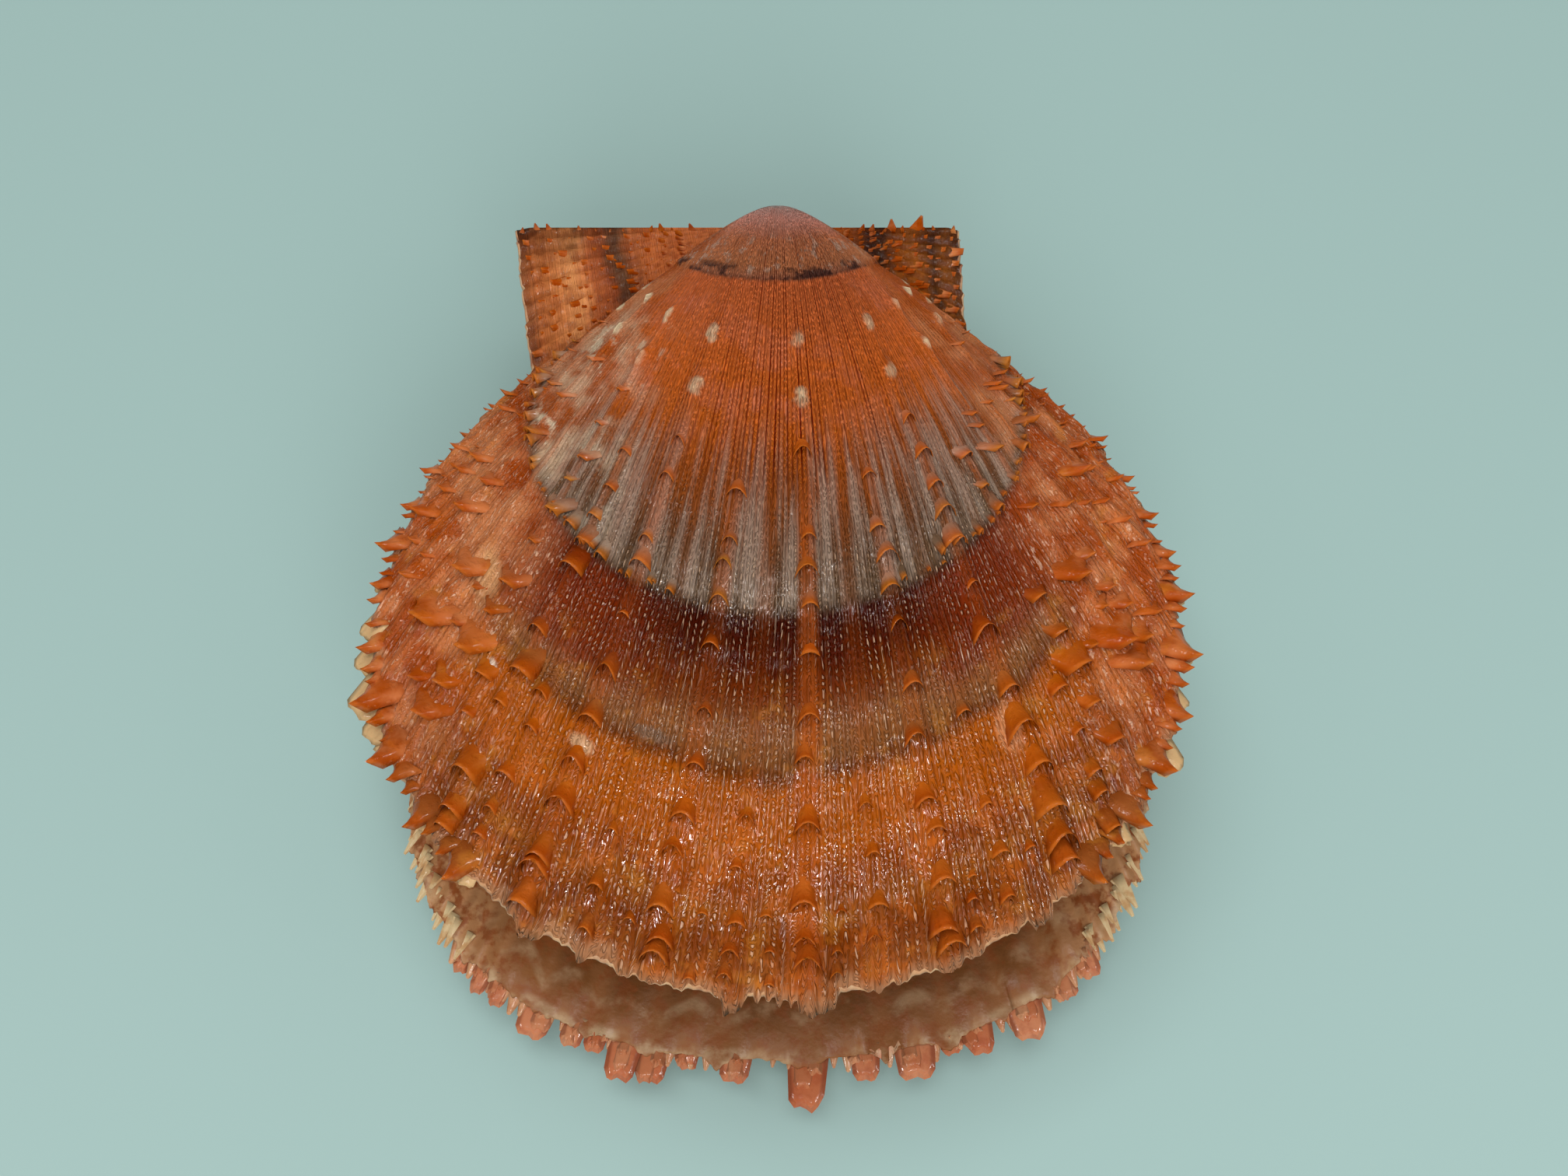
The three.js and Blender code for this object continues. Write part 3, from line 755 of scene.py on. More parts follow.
class Graph:
    """Short hand for the nodes of one material or group. Values are sockets or plain numbers."""

    def __init__(self, tree):
        self.tree = tree

    def put(self, socket, value):
        """Links a value to a socket, or sets it there."""
        if isinstance(value, bpy.types.NodeSocket):
            self.tree.links.new(value, socket)
        else:
            socket.default_value = value

    def node(self, kind, inputs=(), **settings):
        """A node with its settings, and its inputs put in by name or number."""
        made = self.tree.nodes.new(kind)
        for label, value in settings.items():
            setattr(made, label, value)
        for label, value in dict(inputs).items():
            self.put(made.inputs[label], value)
        return made

    def math(self, operation, *values):
        """One sum, product or other operation on numbers."""
        return self.node("ShaderNodeMath", dict(enumerate(values)), operation=operation).outputs[0]

    def times(self, first, *others):
        """Product of all values."""
        for value in others:
            first = self.math("MULTIPLY", first, value)
        return first

    def plus(self, first, *others):
        """Sum of all values."""
        for value in others:
            first = self.math("ADD", first, value)
        return first

    def scaled(self, value, factor, start):
        """The start plus factor times the value."""
        return self.math("MULTIPLY_ADD", value, factor, start)

    def rest(self, share):
        """What a share leaves of 1."""
        return self.math("SUBTRACT", 1.0, share)

    def size(self, value):
        """The value without its sign."""
        return self.math("ABSOLUTE", value)

    def squared(self, distance, half):
        """Square of a distance measured in half widths."""
        return self.math("POWER", self.math("DIVIDE", distance, half), 2.0)

    def band(self, value, start, full):
        """Smooth share of the way from start to full."""
        inputs = {"Value": value, "From Min": start, "From Max": full}
        return self.node("ShaderNodeMapRange", inputs, interpolation_type="SMOOTHSTEP").outputs["Result"]

    def hump(self, value, start, full, fade, end):
        """Rises from start to full and falls again from fade to end."""
        return self.times(self.band(value, start, full), self.rest(self.band(value, fade, end)))

    def spot(self, across, along, fray):
        """1 inside an ellipse of two squared distances and 0 well outside, with a frayed edge."""
        return self.rest(self.band(self.plus(across, along, fray), 0.0, 1.1))

    def paint(self, base, tone, *shares, kind="MIX"):
        """A tone laid over a base colour by the product of the shares."""
        made = self.node("ShaderNodeMix", {0: self.times(*shares)}, data_type="RGBA", blend_type=kind)
        for place, value in ((6, base), (7, tone)):
            linked = isinstance(value, bpy.types.NodeSocket)
            self.put(made.inputs[place], value if linked else colour(*value))
        return made.outputs[2]

    def ramp(self, share, stops):
        """Colours along a share, from stops of a place and a tone."""
        made = self.node("ShaderNodeValToRGB", {"Fac": share})
        points = made.color_ramp.elements
        while len(points) < len(stops):
            points.new(0.5)
        for point, (place, *tone) in zip(points, stops):
            point.position = place
            point.color = colour(*tone)
        return made.outputs["Color"]

    def noise(self, vector, scale, detail=3.0, rough=0.55):
        """Soft noise between about 0.2 and 0.8."""
        inputs = {"Vector": vector, "Scale": scale, "Detail": detail, "Roughness": rough}
        return self.node("ShaderNodeTexNoise", inputs).outputs["Fac"]

    def grain(self, scale, detail=3.0, rough=0.55):
        """Soft noise over the piece, finer with a larger scale."""
        return self.noise(self.place(), scale, detail, rough)

    def attribute(self, label):
        """A number that the piece carries at its points."""
        return self.node("ShaderNodeAttribute", attribute_name=label).outputs["Fac"]

    def attributes(self, *labels):
        """Several of these numbers."""
        return [self.attribute(label) for label in labels]

    def place(self):
        """Object coordinates in metres."""
        return self.node("ShaderNodeTexCoord").outputs["Object"]

    def vector(self, x, y, z=0.0):
        """A vector from three numbers."""
        return self.node("ShaderNodeCombineXYZ", {"X": x, "Y": y, "Z": z}).outputs[0]

    def off_row(self, row):
        """Distance from the nearest scale row."""
        return self.size(self.math("SUBTRACT", row, self.math("ROUND", row)))

    def use(self, group, **inputs):
        """One use of a shared group with its own values."""
        return self.node("ShaderNodeGroup", inputs, node_tree=group).outputs

    def mottle(self, scale, low, high, shift):
        """Blotches of the shared group, each use shifted to its own place."""
        return self.use(MOTTLE, Scale=scale, Low=low, High=high, Shift=shift)["Mask"]

    def streaks(self, across, along, low, high):
        """Radial streaks of the shared group."""
        return self.use(STREAKS, Across=across, Along=along, Low=low, High=high)["Mask"]

    def bump(self, height, strength, distance):
        """Normal of a fine relief, with its distance in metres."""
        inputs = {"Strength": strength, "Distance": distance, "Height": height}
        return self.node("ShaderNodeBump", inputs).outputs["Normal"]

    def give(self, shader, **inputs):
        """Puts values in the shader's own sockets; underscores stand for blanks."""
        for label, value in inputs.items():
            self.put(shader.inputs[label.replace("_", " ")], value)


def colour(red, green, blue):
    """Linear colour from a tone in the usual 0 to 255 steps."""
    steps = np.array([red, green, blue]) / 255
    linear = np.where(steps <= 0.04045, steps / 12.92, ((steps + 0.055) / 1.055) ** 2.4)
    return (*linear.tolist(), 1.0)


def new_group(name, inputs, outputs, kind="NodeSocketFloat"):
    """An empty shader node group with number inputs of these names and outputs of one kind: its graph,
    what it is given and what it results in."""
    group = bpy.data.node_groups.new(name, "ShaderNodeTree")
    for label, value in inputs.items():
        made = group.interface.new_socket(label, in_out="INPUT", socket_type="NodeSocketFloat")
        made.default_value = value
    for label in outputs:
        group.interface.new_socket(label, in_out="OUTPUT", socket_type=kind)
    graph = Graph(group)
    return graph, graph.node("NodeGroupInput").outputs, graph.node("NodeGroupOutput").inputs


def mottle_group():
    """Soft blotches: noise on object coordinates, pulled apart between two levels."""
    levels = {"Scale": 300.0, "Low": 0.45, "High": 0.6, "Shift": 0.0}
    graph, given, result = new_group("mottle", levels, ["Mask"])
    shift = graph.vector(given["Shift"], 0.0, 0.0)
    moved = graph.node("ShaderNodeVectorMath", {0: graph.place(), 1: shift}, operation="ADD")
    soft = graph.noise(moved.outputs[0], given["Scale"], 4.0, 0.6)
    graph.put(result["Mask"], graph.band(soft, given["Low"], given["High"]))
    return graph.tree


def streak_group():
    """Radial streaks: noise that changes fast from riblet to riblet and slowly along growth."""
    levels = {"Across": 1.0, "Along": 6.0, "Low": 0.45, "High": 0.6}
    graph, given, result = new_group("radial_streaks", levels, ["Mask"])
    across = graph.times(graph.attribute("riblet"), given["Across"])
    along = graph.times(graph.attribute("growth"), given["Along"])
    soft = graph.noise(graph.vector(across, along, 3.7), 1.0, 3.0, 0.6)
    graph.put(result["Mask"], graph.band(soft, given["Low"], given["High"]))
    return graph.tree


def beads_group():
    """Fine relief: cosine riblets broken into beads by growth lines that waver, over slow swellings and
    a fine grain. Gives the whole height, the beads alone and the share of each riblet's crest."""
    graph, given, result = new_group("riblet_beads", {"Lines": 95.0}, ["Height", "Bead", "Riblet"])
    riblet, growth = graph.attributes("riblet", "growth")
    crest = graph.scaled(graph.math("COSINE", graph.times(riblet, FULL_TURN)), 0.5, 0.5)
    waver = graph.noise(graph.vector(graph.times(riblet, 0.9), graph.times(growth, 14.0)), 1.0, 2.0)
    turns = graph.scaled(growth, given["Lines"], graph.times(waver, 8.0))
    line = graph.math("COSINE", graph.times(turns, FULL_TURN))
    beads = graph.times(crest, graph.band(line, -0.6, 0.5))
    swell = graph.scaled(graph.grain(520.0, 1.0), 0.9, beads)
    graph.put(result["Height"], graph.scaled(graph.grain(2600.0, 2.0), 0.12, swell))
    graph.put(result["Bead"], beads)
    graph.put(result["Riblet"], crest)
    return graph.tree


MOTTLE = mottle_group()
STREAKS = streak_group()
BEADS = beads_group()


def new_material(name):
    """A material with its graph, its shader and no other nodes."""
    material = bpy.data.materials.new(name)
    material.use_nodes = True
    tree = material.node_tree
    tree.nodes.clear()
    graph = Graph(tree)
    shader = graph.node("ShaderNodeBsdfPrincipled")
    surface = graph.node("ShaderNodeOutputMaterial")
    tree.links.new(shader.outputs[0], surface.inputs["Surface"])
    return material, graph, shader


CREAM = (222, 200, 160)
DARK_BROWN = (52, 28, 20)
GRAIN_SHADE, WHITE = (195.68, 187.52, 184.12), (255, 255, 255)

# Bands of colour: the place along the growth stage and a tone in 0 to 255 steps. The dark dip at 0.2195
# is a painted shadow on the step under the cap's edge.
UPPER_BANDS = (
    (0.0, 250, 200, 188), (0.1, 240, 160, 140), (0.15, 216, 128, 84), (0.2, 198, 122, 78),
    (0.212, 178, 110, 76), (0.2195, 138, 82, 58), (0.223, 212, 108, 58), (0.33, 212, 104, 40),
    (0.41, 194, 94, 26), (0.46, 152, 74, 22), (0.51, 114, 62, 28), (0.55, 98, 64, 40),
    (0.585, 98, 74, 52), (0.597, 82, 58, 40), (0.605, 60, 12, 2), (0.65, 80, 20, 0),
    (0.685, 112, 44, 6), (0.73, 142, 86, 46), (0.752, 130, 78, 38), (0.768, 112, 52, 10),
    (0.785, 174, 84, 4), (0.85, 176, 84, 4), (0.885, 142, 62, 4), (0.915, 152, 78, 16),
    (0.945, 126, 54, 2), (1.0, 150, 82, 34),
)
LEFT_EAR_BANDS = (
    (0.0, 210, 122, 74), (0.3, 212, 118, 66), (0.5, 208, 114, 60), (0.57, 176, 98, 54),
    (0.605, 112, 74, 50), (0.64, 118, 74, 50), (0.67, 174, 90, 50), (0.73, 196, 106, 58),
    (0.79, 236, 156, 94), (0.88, 214, 128, 70), (0.95, 194, 110, 58), (1.0, 160, 94, 56),
)
RIGHT_EAR_BANDS = (
    (0.0, 196, 100, 52), (0.34, 166, 78, 24), (0.45, 106, 52, 20), (0.5, *DARK_BROWN),
    (0.58, 64, 34, 16), (0.66, 142, 74, 22), (0.78, 156, 86, 26), (0.86, 78, 44, 18),
    (0.92, 136, 76, 26), (1.0, 108, 62, 28),
)
LOWER_BANDS = (
    (0.0, 220, 190, 160), (0.25, 224, 196, 164), (0.5, 214, 176, 142), (0.58, 226, 206, 180),
    (0.62, 190, 120, 90), (0.72, 222, 186, 154), (0.85, 208, 148, 112), (1.0, 204, 134, 98),
)
UPPER_INSIDE = SimpleNamespace(
    pale=(218, 196, 178), deep=(206, 178, 160), middle=(196, 128, 92),
    rim=(196, 146, 104), mottle=(150, 84, 60), side=(200, 146, 108),
)
# The lower valve's deep and middle tones are its own darker band and also painted shade under the upper
# valve's margin.
LOWER_INSIDE = SimpleNamespace(
    pale=(214, 184, 160), deep=(96, 58, 30), middle=(114, 68, 30),
    rim=(144, 92, 52), mottle=(138, 70, 30), side=(196, 146, 100),
)

# Worn and crusted marks on the upper valve: flank share, growth, half sizes in both, and tone.
CRUSTS = (
    (-0.427, 0.805, 0.013, 0.012, (228, 212, 190)),
    (-0.523, 0.753, 0.05, 0.04, (222, 168, 116)),
    (-0.262, 0.796, 0.022, 0.013, (222, 178, 134)),
    (-0.18, 0.752, 0.035, 0.01, (118, 92, 74)),
    (0.298, 0.806, 0.022, 0.034, (222, 150, 100)),
)


def upper_bands_group():
    """Colour of the upper valve: growth bands from a ramp over the growth stage, wavering with noise
    but not at the ledges, crossed by radial streaks, with orange ribs, salmon and deep orange flanks
    and white marbling on the left."""
    graph, _, result = new_group("upper_bands", {}, ["Colour"], "NodeSocketColor")
    stage, row, flank, growth = graph.attributes("stage", "row", "flank", "growth")
    slow = graph.grain(90.0)
    quick = graph.noise(graph.vector(graph.times(row, 2.2), graph.times(growth, 8.0)), 1.0)
    waver = graph.plus(graph.scaled(slow, 0.05, -0.025), graph.scaled(quick, 0.028, -0.014))
    cap_edge = graph.hump(stage, 0.19, 0.21, 0.215, 0.26)
    near_edge = graph.math("MAXIMUM", cap_edge, graph.hump(stage, 0.56, 0.59, 0.6, 0.625))
    waver = graph.times(waver, graph.scaled(near_edge, -0.85, 1.0))
    base = graph.ramp(graph.plus(stage, waver), UPPER_BANDS)

    streaks = graph.streaks(0.55, 5.0, 0.4, 0.64)
    thin = graph.streaks(1.3, 3.0, 0.5, 0.66)
    marble = graph.mottle(330.0, 0.54, 0.66, 0.3)
    patch = graph.mottle(210.0, 0.4, 0.64, 0.9)
    base = graph.paint(base, (188, 166, 148), streaks, graph.hump(stage, 0.37, 0.47, 0.585, 0.6), 0.5)
    base = graph.paint(base, (200, 116, 40), thin, graph.band(stage, 0.6, 0.7), 0.2)

    side = graph.size(flank)
    young_tone = graph.paint((178, 84, 26), (206, 130, 82), patch)
    young_side = graph.times(graph.band(side, 0.46, 0.62), graph.rest(graph.band(stage, 0.56, 0.6)))
    base = graph.paint(base, young_tone, young_side, 0.8)
    dark_side = graph.hump(side, 0.16, 0.32, 0.45, 0.6)
    base = graph.paint(base, (124, 40, 4), dark_side, graph.hump(stage, 0.595, 0.615, 0.7, 0.75), 0.8)
    old_tone = graph.paint((170, 70, 6), (214, 134, 84), patch)
    old_side = graph.times(graph.band(side, 0.38, 0.55), graph.band(stage, 0.585, 0.615))
    base = graph.paint(base, old_tone, old_side, 0.85)

    left = graph.hump(graph.times(flank, -1.0), 0.3, 0.5, 0.7, 0.9)
    white_zone = graph.times(graph.hump(stage, 0.27, 0.4, 0.57, 0.61), left)
    white = graph.math("MAXIMUM", marble, graph.times(patch, 0.5))
    white = graph.times(white, graph.scaled(thin, 0.35, 0.75))
    base = graph.paint(base, (230, 216, 184), white_zone, white)
    base = graph.paint(base, (208, 132, 46), graph.band(stage, 0.66, 0.72), marble, 0.35)

    rib = graph.rest(graph.band(graph.off_row(row), 0.1, 0.3))
    even = graph.rest(graph.band(graph.math("PINGPONG", graph.size(row), 1.0), 0.35, 0.6))
    away = graph.band(graph.size(row), 0.6, 1.6)
    dark_band = graph.times(graph.hump(stage, 0.59, 0.61, 0.68, 0.73), graph.scaled(away, 0.5, 0.5))
    rib = graph.times(rib, graph.scaled(even, 0.7, 0.3), graph.band(stage, 0.4, 0.5))
    rib = graph.times(rib, graph.scaled(away, -0.35, 0.75), graph.scaled(dark_band, -0.6, 1.0))
    base = graph.paint(base, (184, 86, 20), rib, graph.scaled(patch, 0.45, 0.6))

    salmon = graph.times(graph.mottle(240.0, 0.48, 0.62, 1.7), graph.hump(stage, 0.2, 0.26, 0.38, 0.46))
    base = graph.paint(base, (222, 134, 106), salmon, graph.scaled(thin, 0.7, 0.3), 0.5)
    outer_salmon = graph.mottle(280.0, 0.5, 0.64, 2.3)
    base = graph.paint(base, (206, 106, 34), outer_salmon, graph.band(stage, 0.77, 0.82), 0.45)
    graph.put(result["Colour"], base)
    return graph.tree


UPPER_TONES = upper_bands_group()


def ear_tones(graph, patch):
    """Colour of the ears: bands over growth that differ left and right, dark hinge corners, a scaly
    mottle, and darker grooves between the ears' riblets."""
    flank, growth, down = graph.attributes("flank", "growth", "down_ear")
    along = graph.scaled(graph.grain(140.0, 4.0), 0.16, graph.math("SUBTRACT", growth, 0.08))
    left, right = graph.ramp(along, LEFT_EAR_BANDS), graph.ramp(along, RIGHT_EAR_BANDS)
    tone = graph.paint(left, right, graph.band(flank, -0.1, 0.1))
    corner = graph.times(graph.rest(graph.band(down, 0.05, 0.4)), graph.band(growth, 0.5, 0.85))
    tone = graph.paint(tone, DARK_BROWN, corner, graph.scaled(patch, 0.4, 0.5))
    tone = graph.paint(tone, (150, 76, 30), graph.mottle(800.0, 0.45, 0.6, 0.6), 0.34, kind="MULTIPLY")
    groove = graph.band(graph.math("COSINE", graph.times(down, FULL_TURN * EAR_RIBLETS)), 0.1, -0.7)
    return graph.paint(tone, (118, 54, 20), groove, graph.scaled(patch, 0.22, 0.12))


def upper_outside():
    """Upper valve outside: the growth bands, a speckled cap with a painted shadow along its edge, dark
    riblet grooves, white knobs on the young main ribs, pale dashes of painted glints on the beads and
    flanks, a worn lip, crusts and the ears' own bands. Riblets are beaded by bump and glossy, and the
    flanks are lumpy."""
    material, graph, shader = new_material("upper_shell_outside")
    stage, row, flank, growth, ear = graph.attributes("stage", "row", "flank", "growth", "ear")
    side = graph.size(flank)
    beads = graph.use(BEADS, Lines=95.0)
    patch = graph.mottle(170.0, 0.47, 0.6, 0.9)
    base = graph.use(UPPER_TONES)["Colour"]

    speckle = graph.streaks(0.22, 42.0, 0.53, 0.63)
    base = graph.paint(base, (206, 174, 152), graph.hump(stage, 0.13, 0.17, 0.208, 0.218), speckle, 0.6)
    # The dark line at the cap's edge is a painted shadow under its step.
    cap_edge_shadow = graph.mottle(330.0, 0.49, 0.58, 0.1)
    base = graph.paint(base, (62, 38, 36), cap_edge_shadow, graph.hump(stage, 0.195, 0.21, 0.218, 0.2215), 0.85)

    groove = graph.rest(graph.band(beads["Riblet"], 0.1, 0.45))
    middle = graph.rest(graph.band(graph.size(row), 1.0, 5.0))
    uneven = graph.scaled(graph.streaks(0.75, 2.5, 0.4, 0.62), 0.8, 0.35)
    young = graph.times(graph.hump(stage, 0.1, 0.15, 0.42, 0.52), uneven)
    depth = graph.scaled(young, graph.scaled(middle, 0.35, 0.4), 0.15)
    ventral = graph.rest(graph.times(graph.band(side, 0.3, 0.52), 0.4))
    base = graph.paint(base, (120, 44, 16), groove, graph.times(depth, ventral), kind="MULTIPLY")

    aside = graph.squared(graph.math("PINGPONG", graph.size(row), 2.0), 0.38)
    wobble = graph.scaled(graph.grain(800.0, 2.0), 2.0, -0.9)
    for place in KNOB_TONES:
        ahead = graph.squared(graph.math("SUBTRACT", stage, place), 0.015)
        knob = graph.spot(aside, ahead, wobble)
        base = graph.paint(base, (226, 204, 166), knob, graph.scaled(patch, 0.45, 0.45))

    # Pale dashes on the bead tops are painted glints. The same patches also set where the shell is
    # glossier.
    gloss_and_glints = graph.mottle(430.0, 0.44, 0.58, 3.1)
    painted_bead_glints = graph.times(graph.band(beads["Bead"], 0.72, 0.97), graph.band(stage, 0.42, 0.6))
    painted_bead_glints = graph.times(painted_bead_glints, graph.scaled(gloss_and_glints, 0.7, 0.3))
    between = graph.scaled(graph.band(graph.off_row(row), 0.1, 0.22), 0.85, 0.15)
    base = graph.paint(base, (240, 198, 164), painted_bead_glints, between, ventral, 0.5)
    # Pale flecks on the outer flanks are painted glints.
    painted_glint_flecks = graph.streaks(1.6, 70.0, 0.59, 0.67)
    glint_fleck_zone = graph.times(graph.band(side, 0.3, 0.48), graph.band(stage, 0.58, 0.64))
    base = graph.paint(base, (244, 200, 166), painted_glint_flecks, glint_fleck_zone, 0.5)
    lip = graph.band(graph.scaled(patch, 0.01, growth), 0.985, 1.0)
    base = graph.paint(base, (172, 122, 86), lip, 0.75)

    frayed = graph.scaled(graph.grain(1500.0), 1.2, -0.6)
    for across, along, wide, long, tone in CRUSTS:
        off = graph.squared(graph.math("SUBTRACT", flank, across), wide)
        ahead = graph.squared(graph.math("SUBTRACT", growth, along), long)
        base = graph.paint(base, tone, graph.spot(off, ahead, frayed), 0.7)
    base = graph.paint(base, ear_tones(graph, patch), ear)

    grey = graph.grain(1200.0)
    shade = graph.ramp(grey, ((0.3, *GRAIN_SHADE), (0.7, *WHITE)))
    base = graph.paint(base, shade, 0.3, kind="MULTIPLY")
    lumpy = graph.times(graph.grain(620.0, 4.0, 0.6), graph.scaled(ventral, -5.0, 5.4))
    normal = graph.bump(graph.plus(graph.times(beads["Height"], ventral), lumpy), 1.0, 0.0002)
    rough = graph.scaled(gloss_and_glints, -0.08, graph.scaled(grey, 0.06, 0.17))
    graph.give(shader, Base_Color=base, Roughness=rough, Normal=normal, Specular_IOR_Level=0.36)
    return material


def scale_horn():
    """Scales of the upper valve: the shell's own bands at the root, deeper orange above, yellow on the
    young shell, with a pale thin lip; flakes are beige."""
    material, graph, shader = new_material("upper_scale_horn")
    tip, stage, chance, pale, aside = graph.attributes("tip", "stage", "chance", "pale", "aside")
    young = graph.paint((182, 82, 10), (188, 128, 36), chance, graph.hump(stage, 0.52, 0.56, 0.6, 0.64))
    grown = graph.paint((182, 86, 10), (176, 68, 2), chance)
    horn = graph.paint(young, grown, graph.band(stage, 0.56, 0.66))
    horn = graph.paint(horn, (152, 54, 2), graph.mottle(420.0, 0.4, 0.65, 0.2), 0.35)
    base = graph.paint(graph.use(UPPER_TONES)["Colour"], horn, graph.band(tip, 0.4, 0.95), 0.8)
    base = graph.paint(base, (208, 118, 42), graph.band(tip, 0.8, 1.0), 0.45)
    base = graph.paint(base, (214, 184, 134), pale)
    grain = graph.grain(1800.0, 2.0)
    folds = graph.math("COSINE", graph.scaled(grain, 5.0, graph.times(aside, 9.0)))
    normal = graph.bump(graph.scaled(folds, 0.2, grain), 0.8, 0.00012)
    rough = graph.scaled(grain, 0.18, 0.1)
    graph.give(shader, Base_Color=base, Roughness=rough, Normal=normal, Specular_IOR_Level=0.22)
    graph.give(shader, Subsurface_Weight=0.08, Subsurface_Radius=(0.002, 0.0008, 0.0004))
    return material


def inside(name, tones):
    """Inner face: glossy, pale in the middle inside a darker band that waves with the ribs, paler at the
    rim and the sides, with blotches, faint rays and pale arches where each rib ends. On the lower valve
    the band's dark tones are the valve's own colour and also painted shade under the upper valve's
    margin."""
    material, graph, shader = new_material(name)
    growth, row, flank = graph.attributes("growth", "row", "flank")
    scallop = graph.size(graph.math("SINE", graph.times(row, math.pi)))
    share = graph.plus(growth, graph.scaled(graph.grain(110.0), 0.06, -0.03))
    waved = graph.plus(share, graph.scaled(scallop, -0.036, 0.018))
    bands = ((0.0, tones.pale), (0.62, tones.pale), (0.78, tones.deep), (0.87, tones.middle))
    bands = (*bands, (0.92, tones.middle), (0.975, tones.rim), (1.0, tones.rim))
    base = graph.ramp(waved, [(place, *tone) for place, tone in bands])
    cloud = graph.mottle(330.0, 0.4, 0.66, 0.8)
    base = graph.paint(base, tones.rim, cloud, graph.times(graph.band(growth, 0.8, 0.9), 0.6))
    blotch = graph.mottle(700.0, 0.46, 0.62, 0.5)
    base = graph.paint(base, tones.mottle, blotch, graph.band(growth, 0.72, 0.88), 0.55)
    arches = graph.hump(graph.scaled(scallop, 0.022, share), 0.958, 0.968, 0.972, 0.984)
    base = graph.paint(base, graph.paint(tones.rim, CREAM, 0.3), arches, cloud, 0.75)
    sides = graph.times(graph.band(graph.size(flank), 0.28, 0.46), graph.band(growth, 0.82, 0.9))
    base = graph.paint(base, graph.paint(tones.side, tones.mottle, blotch), sides, 0.6)
    base = graph.paint(base, tones.rim, graph.streaks(0.4, 4.0, 0.4, 0.7), 0.15)
    base = graph.paint(base, CREAM, graph.band(growth, 0.985, 0.999), cloud, 0.45)
    grain = graph.grain(1500.0, 2.0)
    normal, rough = graph.bump(grain, 0.6, 0.00012), graph.scaled(grain, 0.25, 0.3)
    graph.give(shader, Base_Color=base, Roughness=rough, Normal=normal, Specular_IOR_Level=0.3)
    return material


def lower_outside():
    """Lower valve outside: cream to pink-orange bands with streaks, beaded like the upper valve."""
    material, graph, shader = new_material("lower_shell_outside")
    slow = graph.grain(100.0)
    base = graph.ramp(graph.plus(graph.attribute("stage"), graph.scaled(slow, 0.08, -0.04)), LOWER_BANDS)
    base = graph.paint(base, (186, 104, 72), graph.streaks(0.5, 4.0, 0.45, 0.62), 0.4)
    base = graph.paint(base, CREAM, graph.mottle(300.0, 0.5, 0.62, 0.7), 0.45)
    normal = graph.bump(graph.use(BEADS, Lines=90.0)["Height"], 0.8, 0.00014)
    graph.give(shader, Base_Color=base, Roughness=graph.scaled(slow, 0.2, 0.28), Normal=normal)
    return material


def finger_horn():
    """Scales of the lower valve: cream spikes and glossy pink-orange fingers, paler at the root, with
    painted shade darkening them along their sides."""
    material, graph, shader = new_material("lower_scale_horn")
    tip, pale, chance, aside = graph.attributes("tip", "pale", "chance", "aside")
    soft = graph.mottle(600.0, 0.45, 0.62, 0.4)
    finger = graph.paint((182, 98, 60), (200, 130, 92), chance)
    finger = graph.paint((184, 130, 98), finger, graph.band(tip, 0.05, 0.5))
    finger = graph.paint(finger, (158, 70, 42), soft, 0.4)
    # The darker sides of each finger are painted shade.
    finger = graph.paint(finger, (126, 62, 42), graph.band(graph.size(aside), 0.75, 1.0), 0.6)
    base = graph.paint(finger, graph.paint((212, 186, 142), (196, 154, 106), soft), pale)
    grain = graph.grain(1500.0, 2.0)
    normal, rough = graph.bump(grain, 0.4, 0.0001), graph.scaled(grain, 0.15, 0.12)
    graph.give(shader, Base_Color=base, Roughness=rough, Normal=normal, Specular_IOR_Level=0.35)
    graph.give(shader, Subsurface_Weight=0.1, Subsurface_Radius=(0.002, 0.0009, 0.0006))
    return material


def dried_ligament():
    """Ligament: dark brown and fibrous, with fine lines along the hinge."""
    material, graph, shader = new_material("dried_ligament")
    drawn_out = graph.node("ShaderNodeMapping", {"Vector": graph.place(), "Scale": (0.15, 6.0, 6.0)})
    lines = graph.noise(drawn_out.outputs[0], 900.0, 4.0)
    base = graph.ramp(lines, ((0.3, 30, 18, 12), (0.55, 62, 36, 22), (0.75, 104, 66, 40)))
    normal = graph.bump(lines, 0.7, 0.00015)
    graph.give(shader, Base_Color=base, Roughness=graph.scaled(lines, 0.3, 0.4), Normal=normal)
    return material


def ligament_piece(material):
    """Ligament: a rounded wedge carried along the hinge. Its depth swells at the middle, where the
    resilium reaches in between the valves, and its height follows the gape."""
    left, right, sunk = -22.0, 15.0, 0.27
    x = np.linspace(left, right, 120)
    depth = 1.55 + 3.6 * np.exp(-((np.abs(x) / 3.1) ** 6))
    ends = np.sqrt(np.clip(np.minimum(x - left, right - x) / 0.8, 0, 1))
    turn = np.linspace(0, FULL_TURN, 24, endpoint=False)
    roundness = 0.45
    away = np.sign(np.cos(turn)) * np.abs(np.cos(turn)) ** roundness * 0.5 + 0.5
    up = np.sign(np.sin(turn)) * np.abs(np.sin(turn)) ** roundness
    t = depth[:, None] * away[None, :]
    top = HINGE_GAP + t * math.tan(GAPE) - sunk
    middle, half = (top + sunk) / 2, (top - sunk) / 2
    ripple = 1 + 0.05 * np.sin(x * 5.1)[:, None] * np.cos(turn * 3)[None, :]
    z = middle + half * up[None, :] * (0.15 + 0.85 * ends[:, None]) * ripple
    points = np.stack([np.broadcast_to(x[:, None], t.shape), t, -z], axis=-1)
    index = np.arange(t.size).reshape(t.shape)
    beside = np.roll(index, -1, 1)
    quads = np.stack([index[:-1], beside[:-1], beside[1:], index[1:]], axis=-1).reshape(-1, 4)
    faces = quads.tolist() + [index[0, ::-1].tolist(), index[-1].tolist()]
    return mesh_piece("ligament", to_row_frame(points.reshape(-1, 3), LOWER), faces, {}, [material])


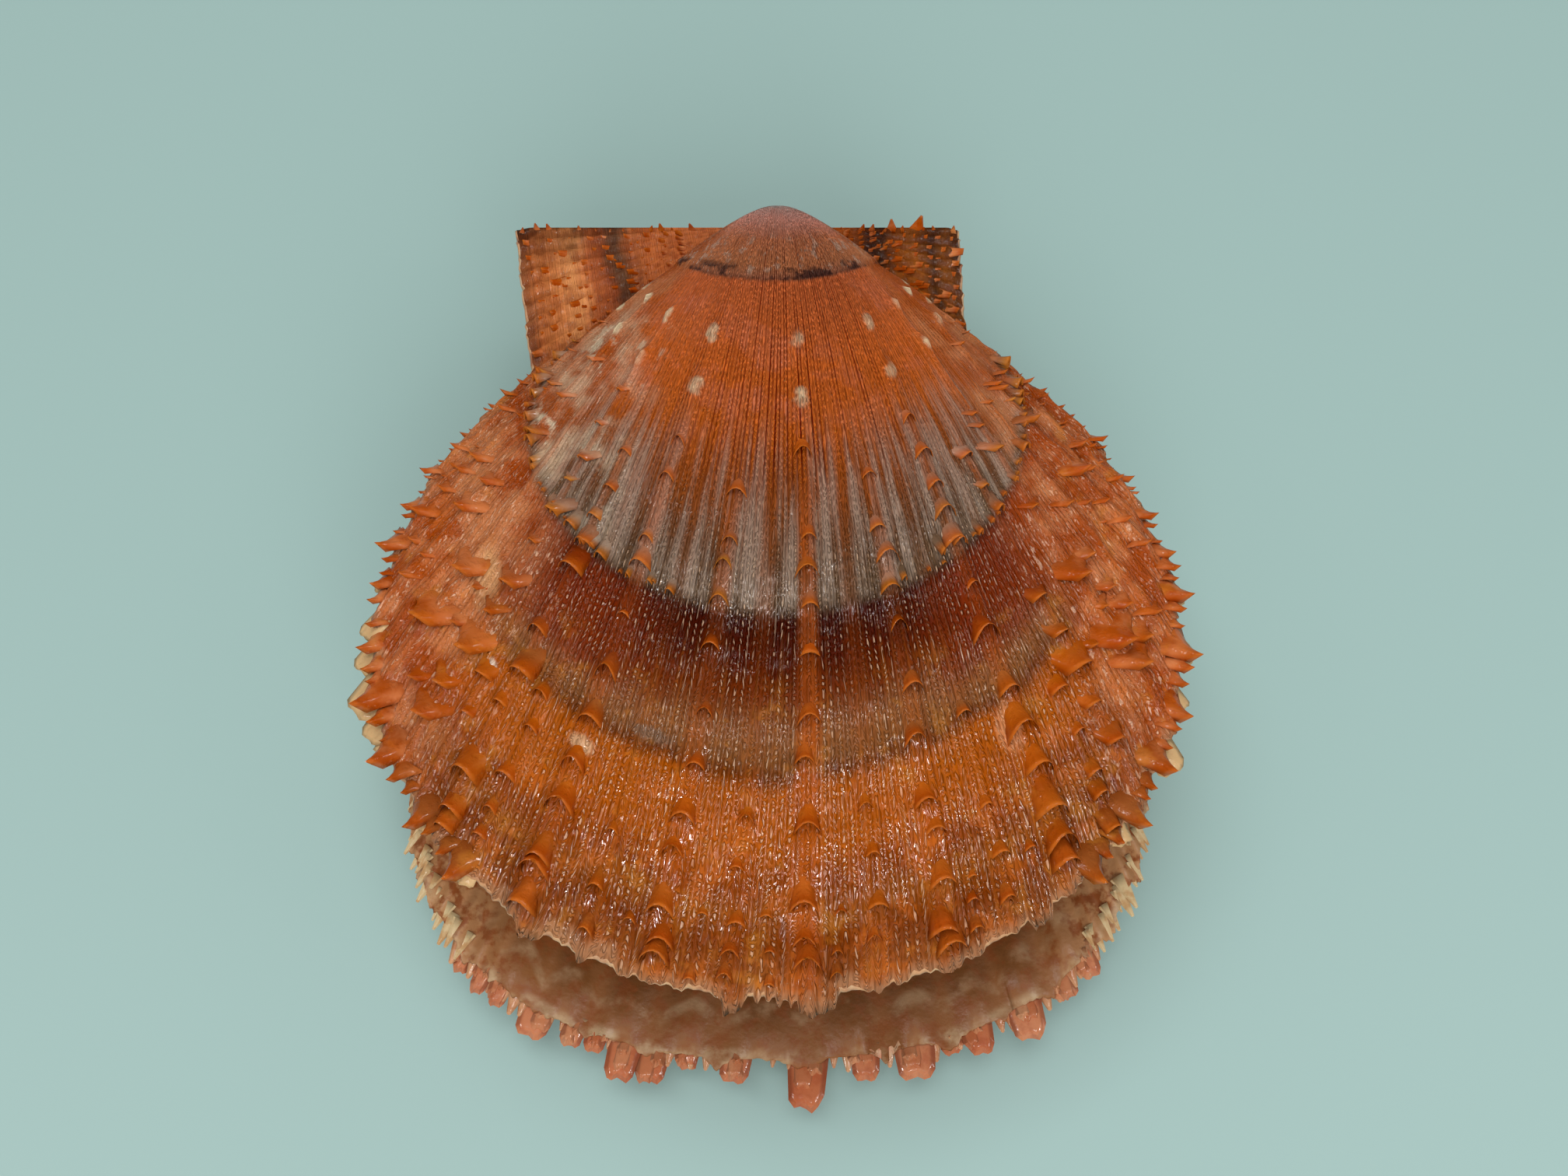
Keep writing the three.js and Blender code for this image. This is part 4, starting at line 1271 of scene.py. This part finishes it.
rng = np.random.default_rng(20)
upper_faces = [upper_outside(), inside("upper_shell_inside", UPPER_INSIDE)]
lower_faces = [lower_outside(), inside("lower_shell_inside", LOWER_INSIDE)]
upper_valve = valve_piece("upper_valve_shell", UPPER, upper_faces)
lower_valve = valve_piece("lower_valve_shell", LOWER, lower_faces)
upper_scales = scales_piece("upper_valve_scales", UPPER, *upper_scale_layout(UPPER, rng), scale_horn())
lower_scales = scales_piece("lower_valve_scales", LOWER, *lower_scale_layout(LOWER, rng), finger_horn())
ligament = ligament_piece(dried_ligament())

for piece, node, slot in (
    (upper_valve, "upper_valve", "upper_shell"),
    (upper_scales, "upper_valve", "upper_shell"),
    (lower_valve, "lower_valve", "lower_shell"),
    (lower_scales, "lower_valve", "lower_shell"),
    (ligament, "hinge_ligament", "ligament"),
):
    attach(piece, "root")
    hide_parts(node)


def floor_piece():
    """A wide flat sheet under the shell."""
    half = 1.5
    corners = np.array([[-half, -half, 0], [half, -half, 0], [half, half, 0], [-half, half, 0]])
    material, graph, shader = new_material("pale_floor")
    graph.give(shader, Base_Color=colour(157, 186, 182), Roughness=0.6)
    return mesh_piece("floor", corners, [[0, 1, 2, 3]], {}, [material])


def soft_light(name, place, size, power, glints=False, aim=(0.0, 0.0, 0.015)):
    """A square light at a place, turned to face the shell. It lights the shell, or gives only glints."""
    light = bpy.data.lights.new(name, "AREA")
    light.size = size
    light.energy = power
    lamp = bpy.data.objects.new(name, light)
    lamp.visible_glossy = glints
    lamp.visible_diffuse = not glints
    bpy.context.scene.collection.objects.link(lamp)
    away = np.array(place) - np.array(aim)
    flat = math.hypot(away[0], away[1])
    lamp.location = place
    lamp.rotation_euler = (math.atan2(flat, away[2]), 0.0, math.atan2(away[0], -away[1]))
    return lamp


floor_piece()
soft_light("sky_light", (-0.3, 0.5, 2.4), 1.8, 34.0)
soft_light("front_light", (0.06, -0.45, 0.38), 0.4, 1.9)
soft_light("middle_glint", (0.03, -0.1, 0.43), 0.03, 0.22, glints=True)
soft_light("left_glint", (-0.28, -0.12, 0.34), 0.03, 0.6, glints=True)
soft_light("right_glint", (0.3, -0.1, 0.33), 0.03, 0.6, glints=True)

world = bpy.data.worlds.new("studio")
world.use_nodes = True
sky = world.node_tree.nodes["Background"]
sky.inputs["Color"].default_value = (0.95, 0.96, 0.92, 1.0)
sky.inputs["Strength"].default_value = 0.36
bpy.context.scene.world = world
world.cycles_visibility.glossy = False
bpy.context.scene.view_settings.view_transform = "Standard"

# Camera: its place in the upper valve's frame in mm, and its lens in pixels of the picture's width. It
# looks down on the valve at 67 degrees, which is 69 degrees to the floor.
CAMERA_PLACE = np.array([0.6, 101.42, 151.76])
LOOK_DOWN = math.radians(67)
PICTURE_WIDTH, FOCAL_LENGTH = 2016, 2400
lens = bpy.data.cameras.new("camera")
lens.sensor_width = 36.0
lens.lens = lens.sensor_width * FOCAL_LENGTH / PICTURE_WIDTH
lens.clip_start = 0.005
camera = bpy.data.objects.new("camera", lens)
bpy.context.scene.collection.objects.link(camera)
camera.location = to_row_frame(CAMERA_PLACE, UPPER).tolist()
camera.rotation_euler = (math.radians(90) - LOOK_DOWN + REST_TILT - GAPE, 0.0, 0.0)
bpy.context.scene.camera = camera
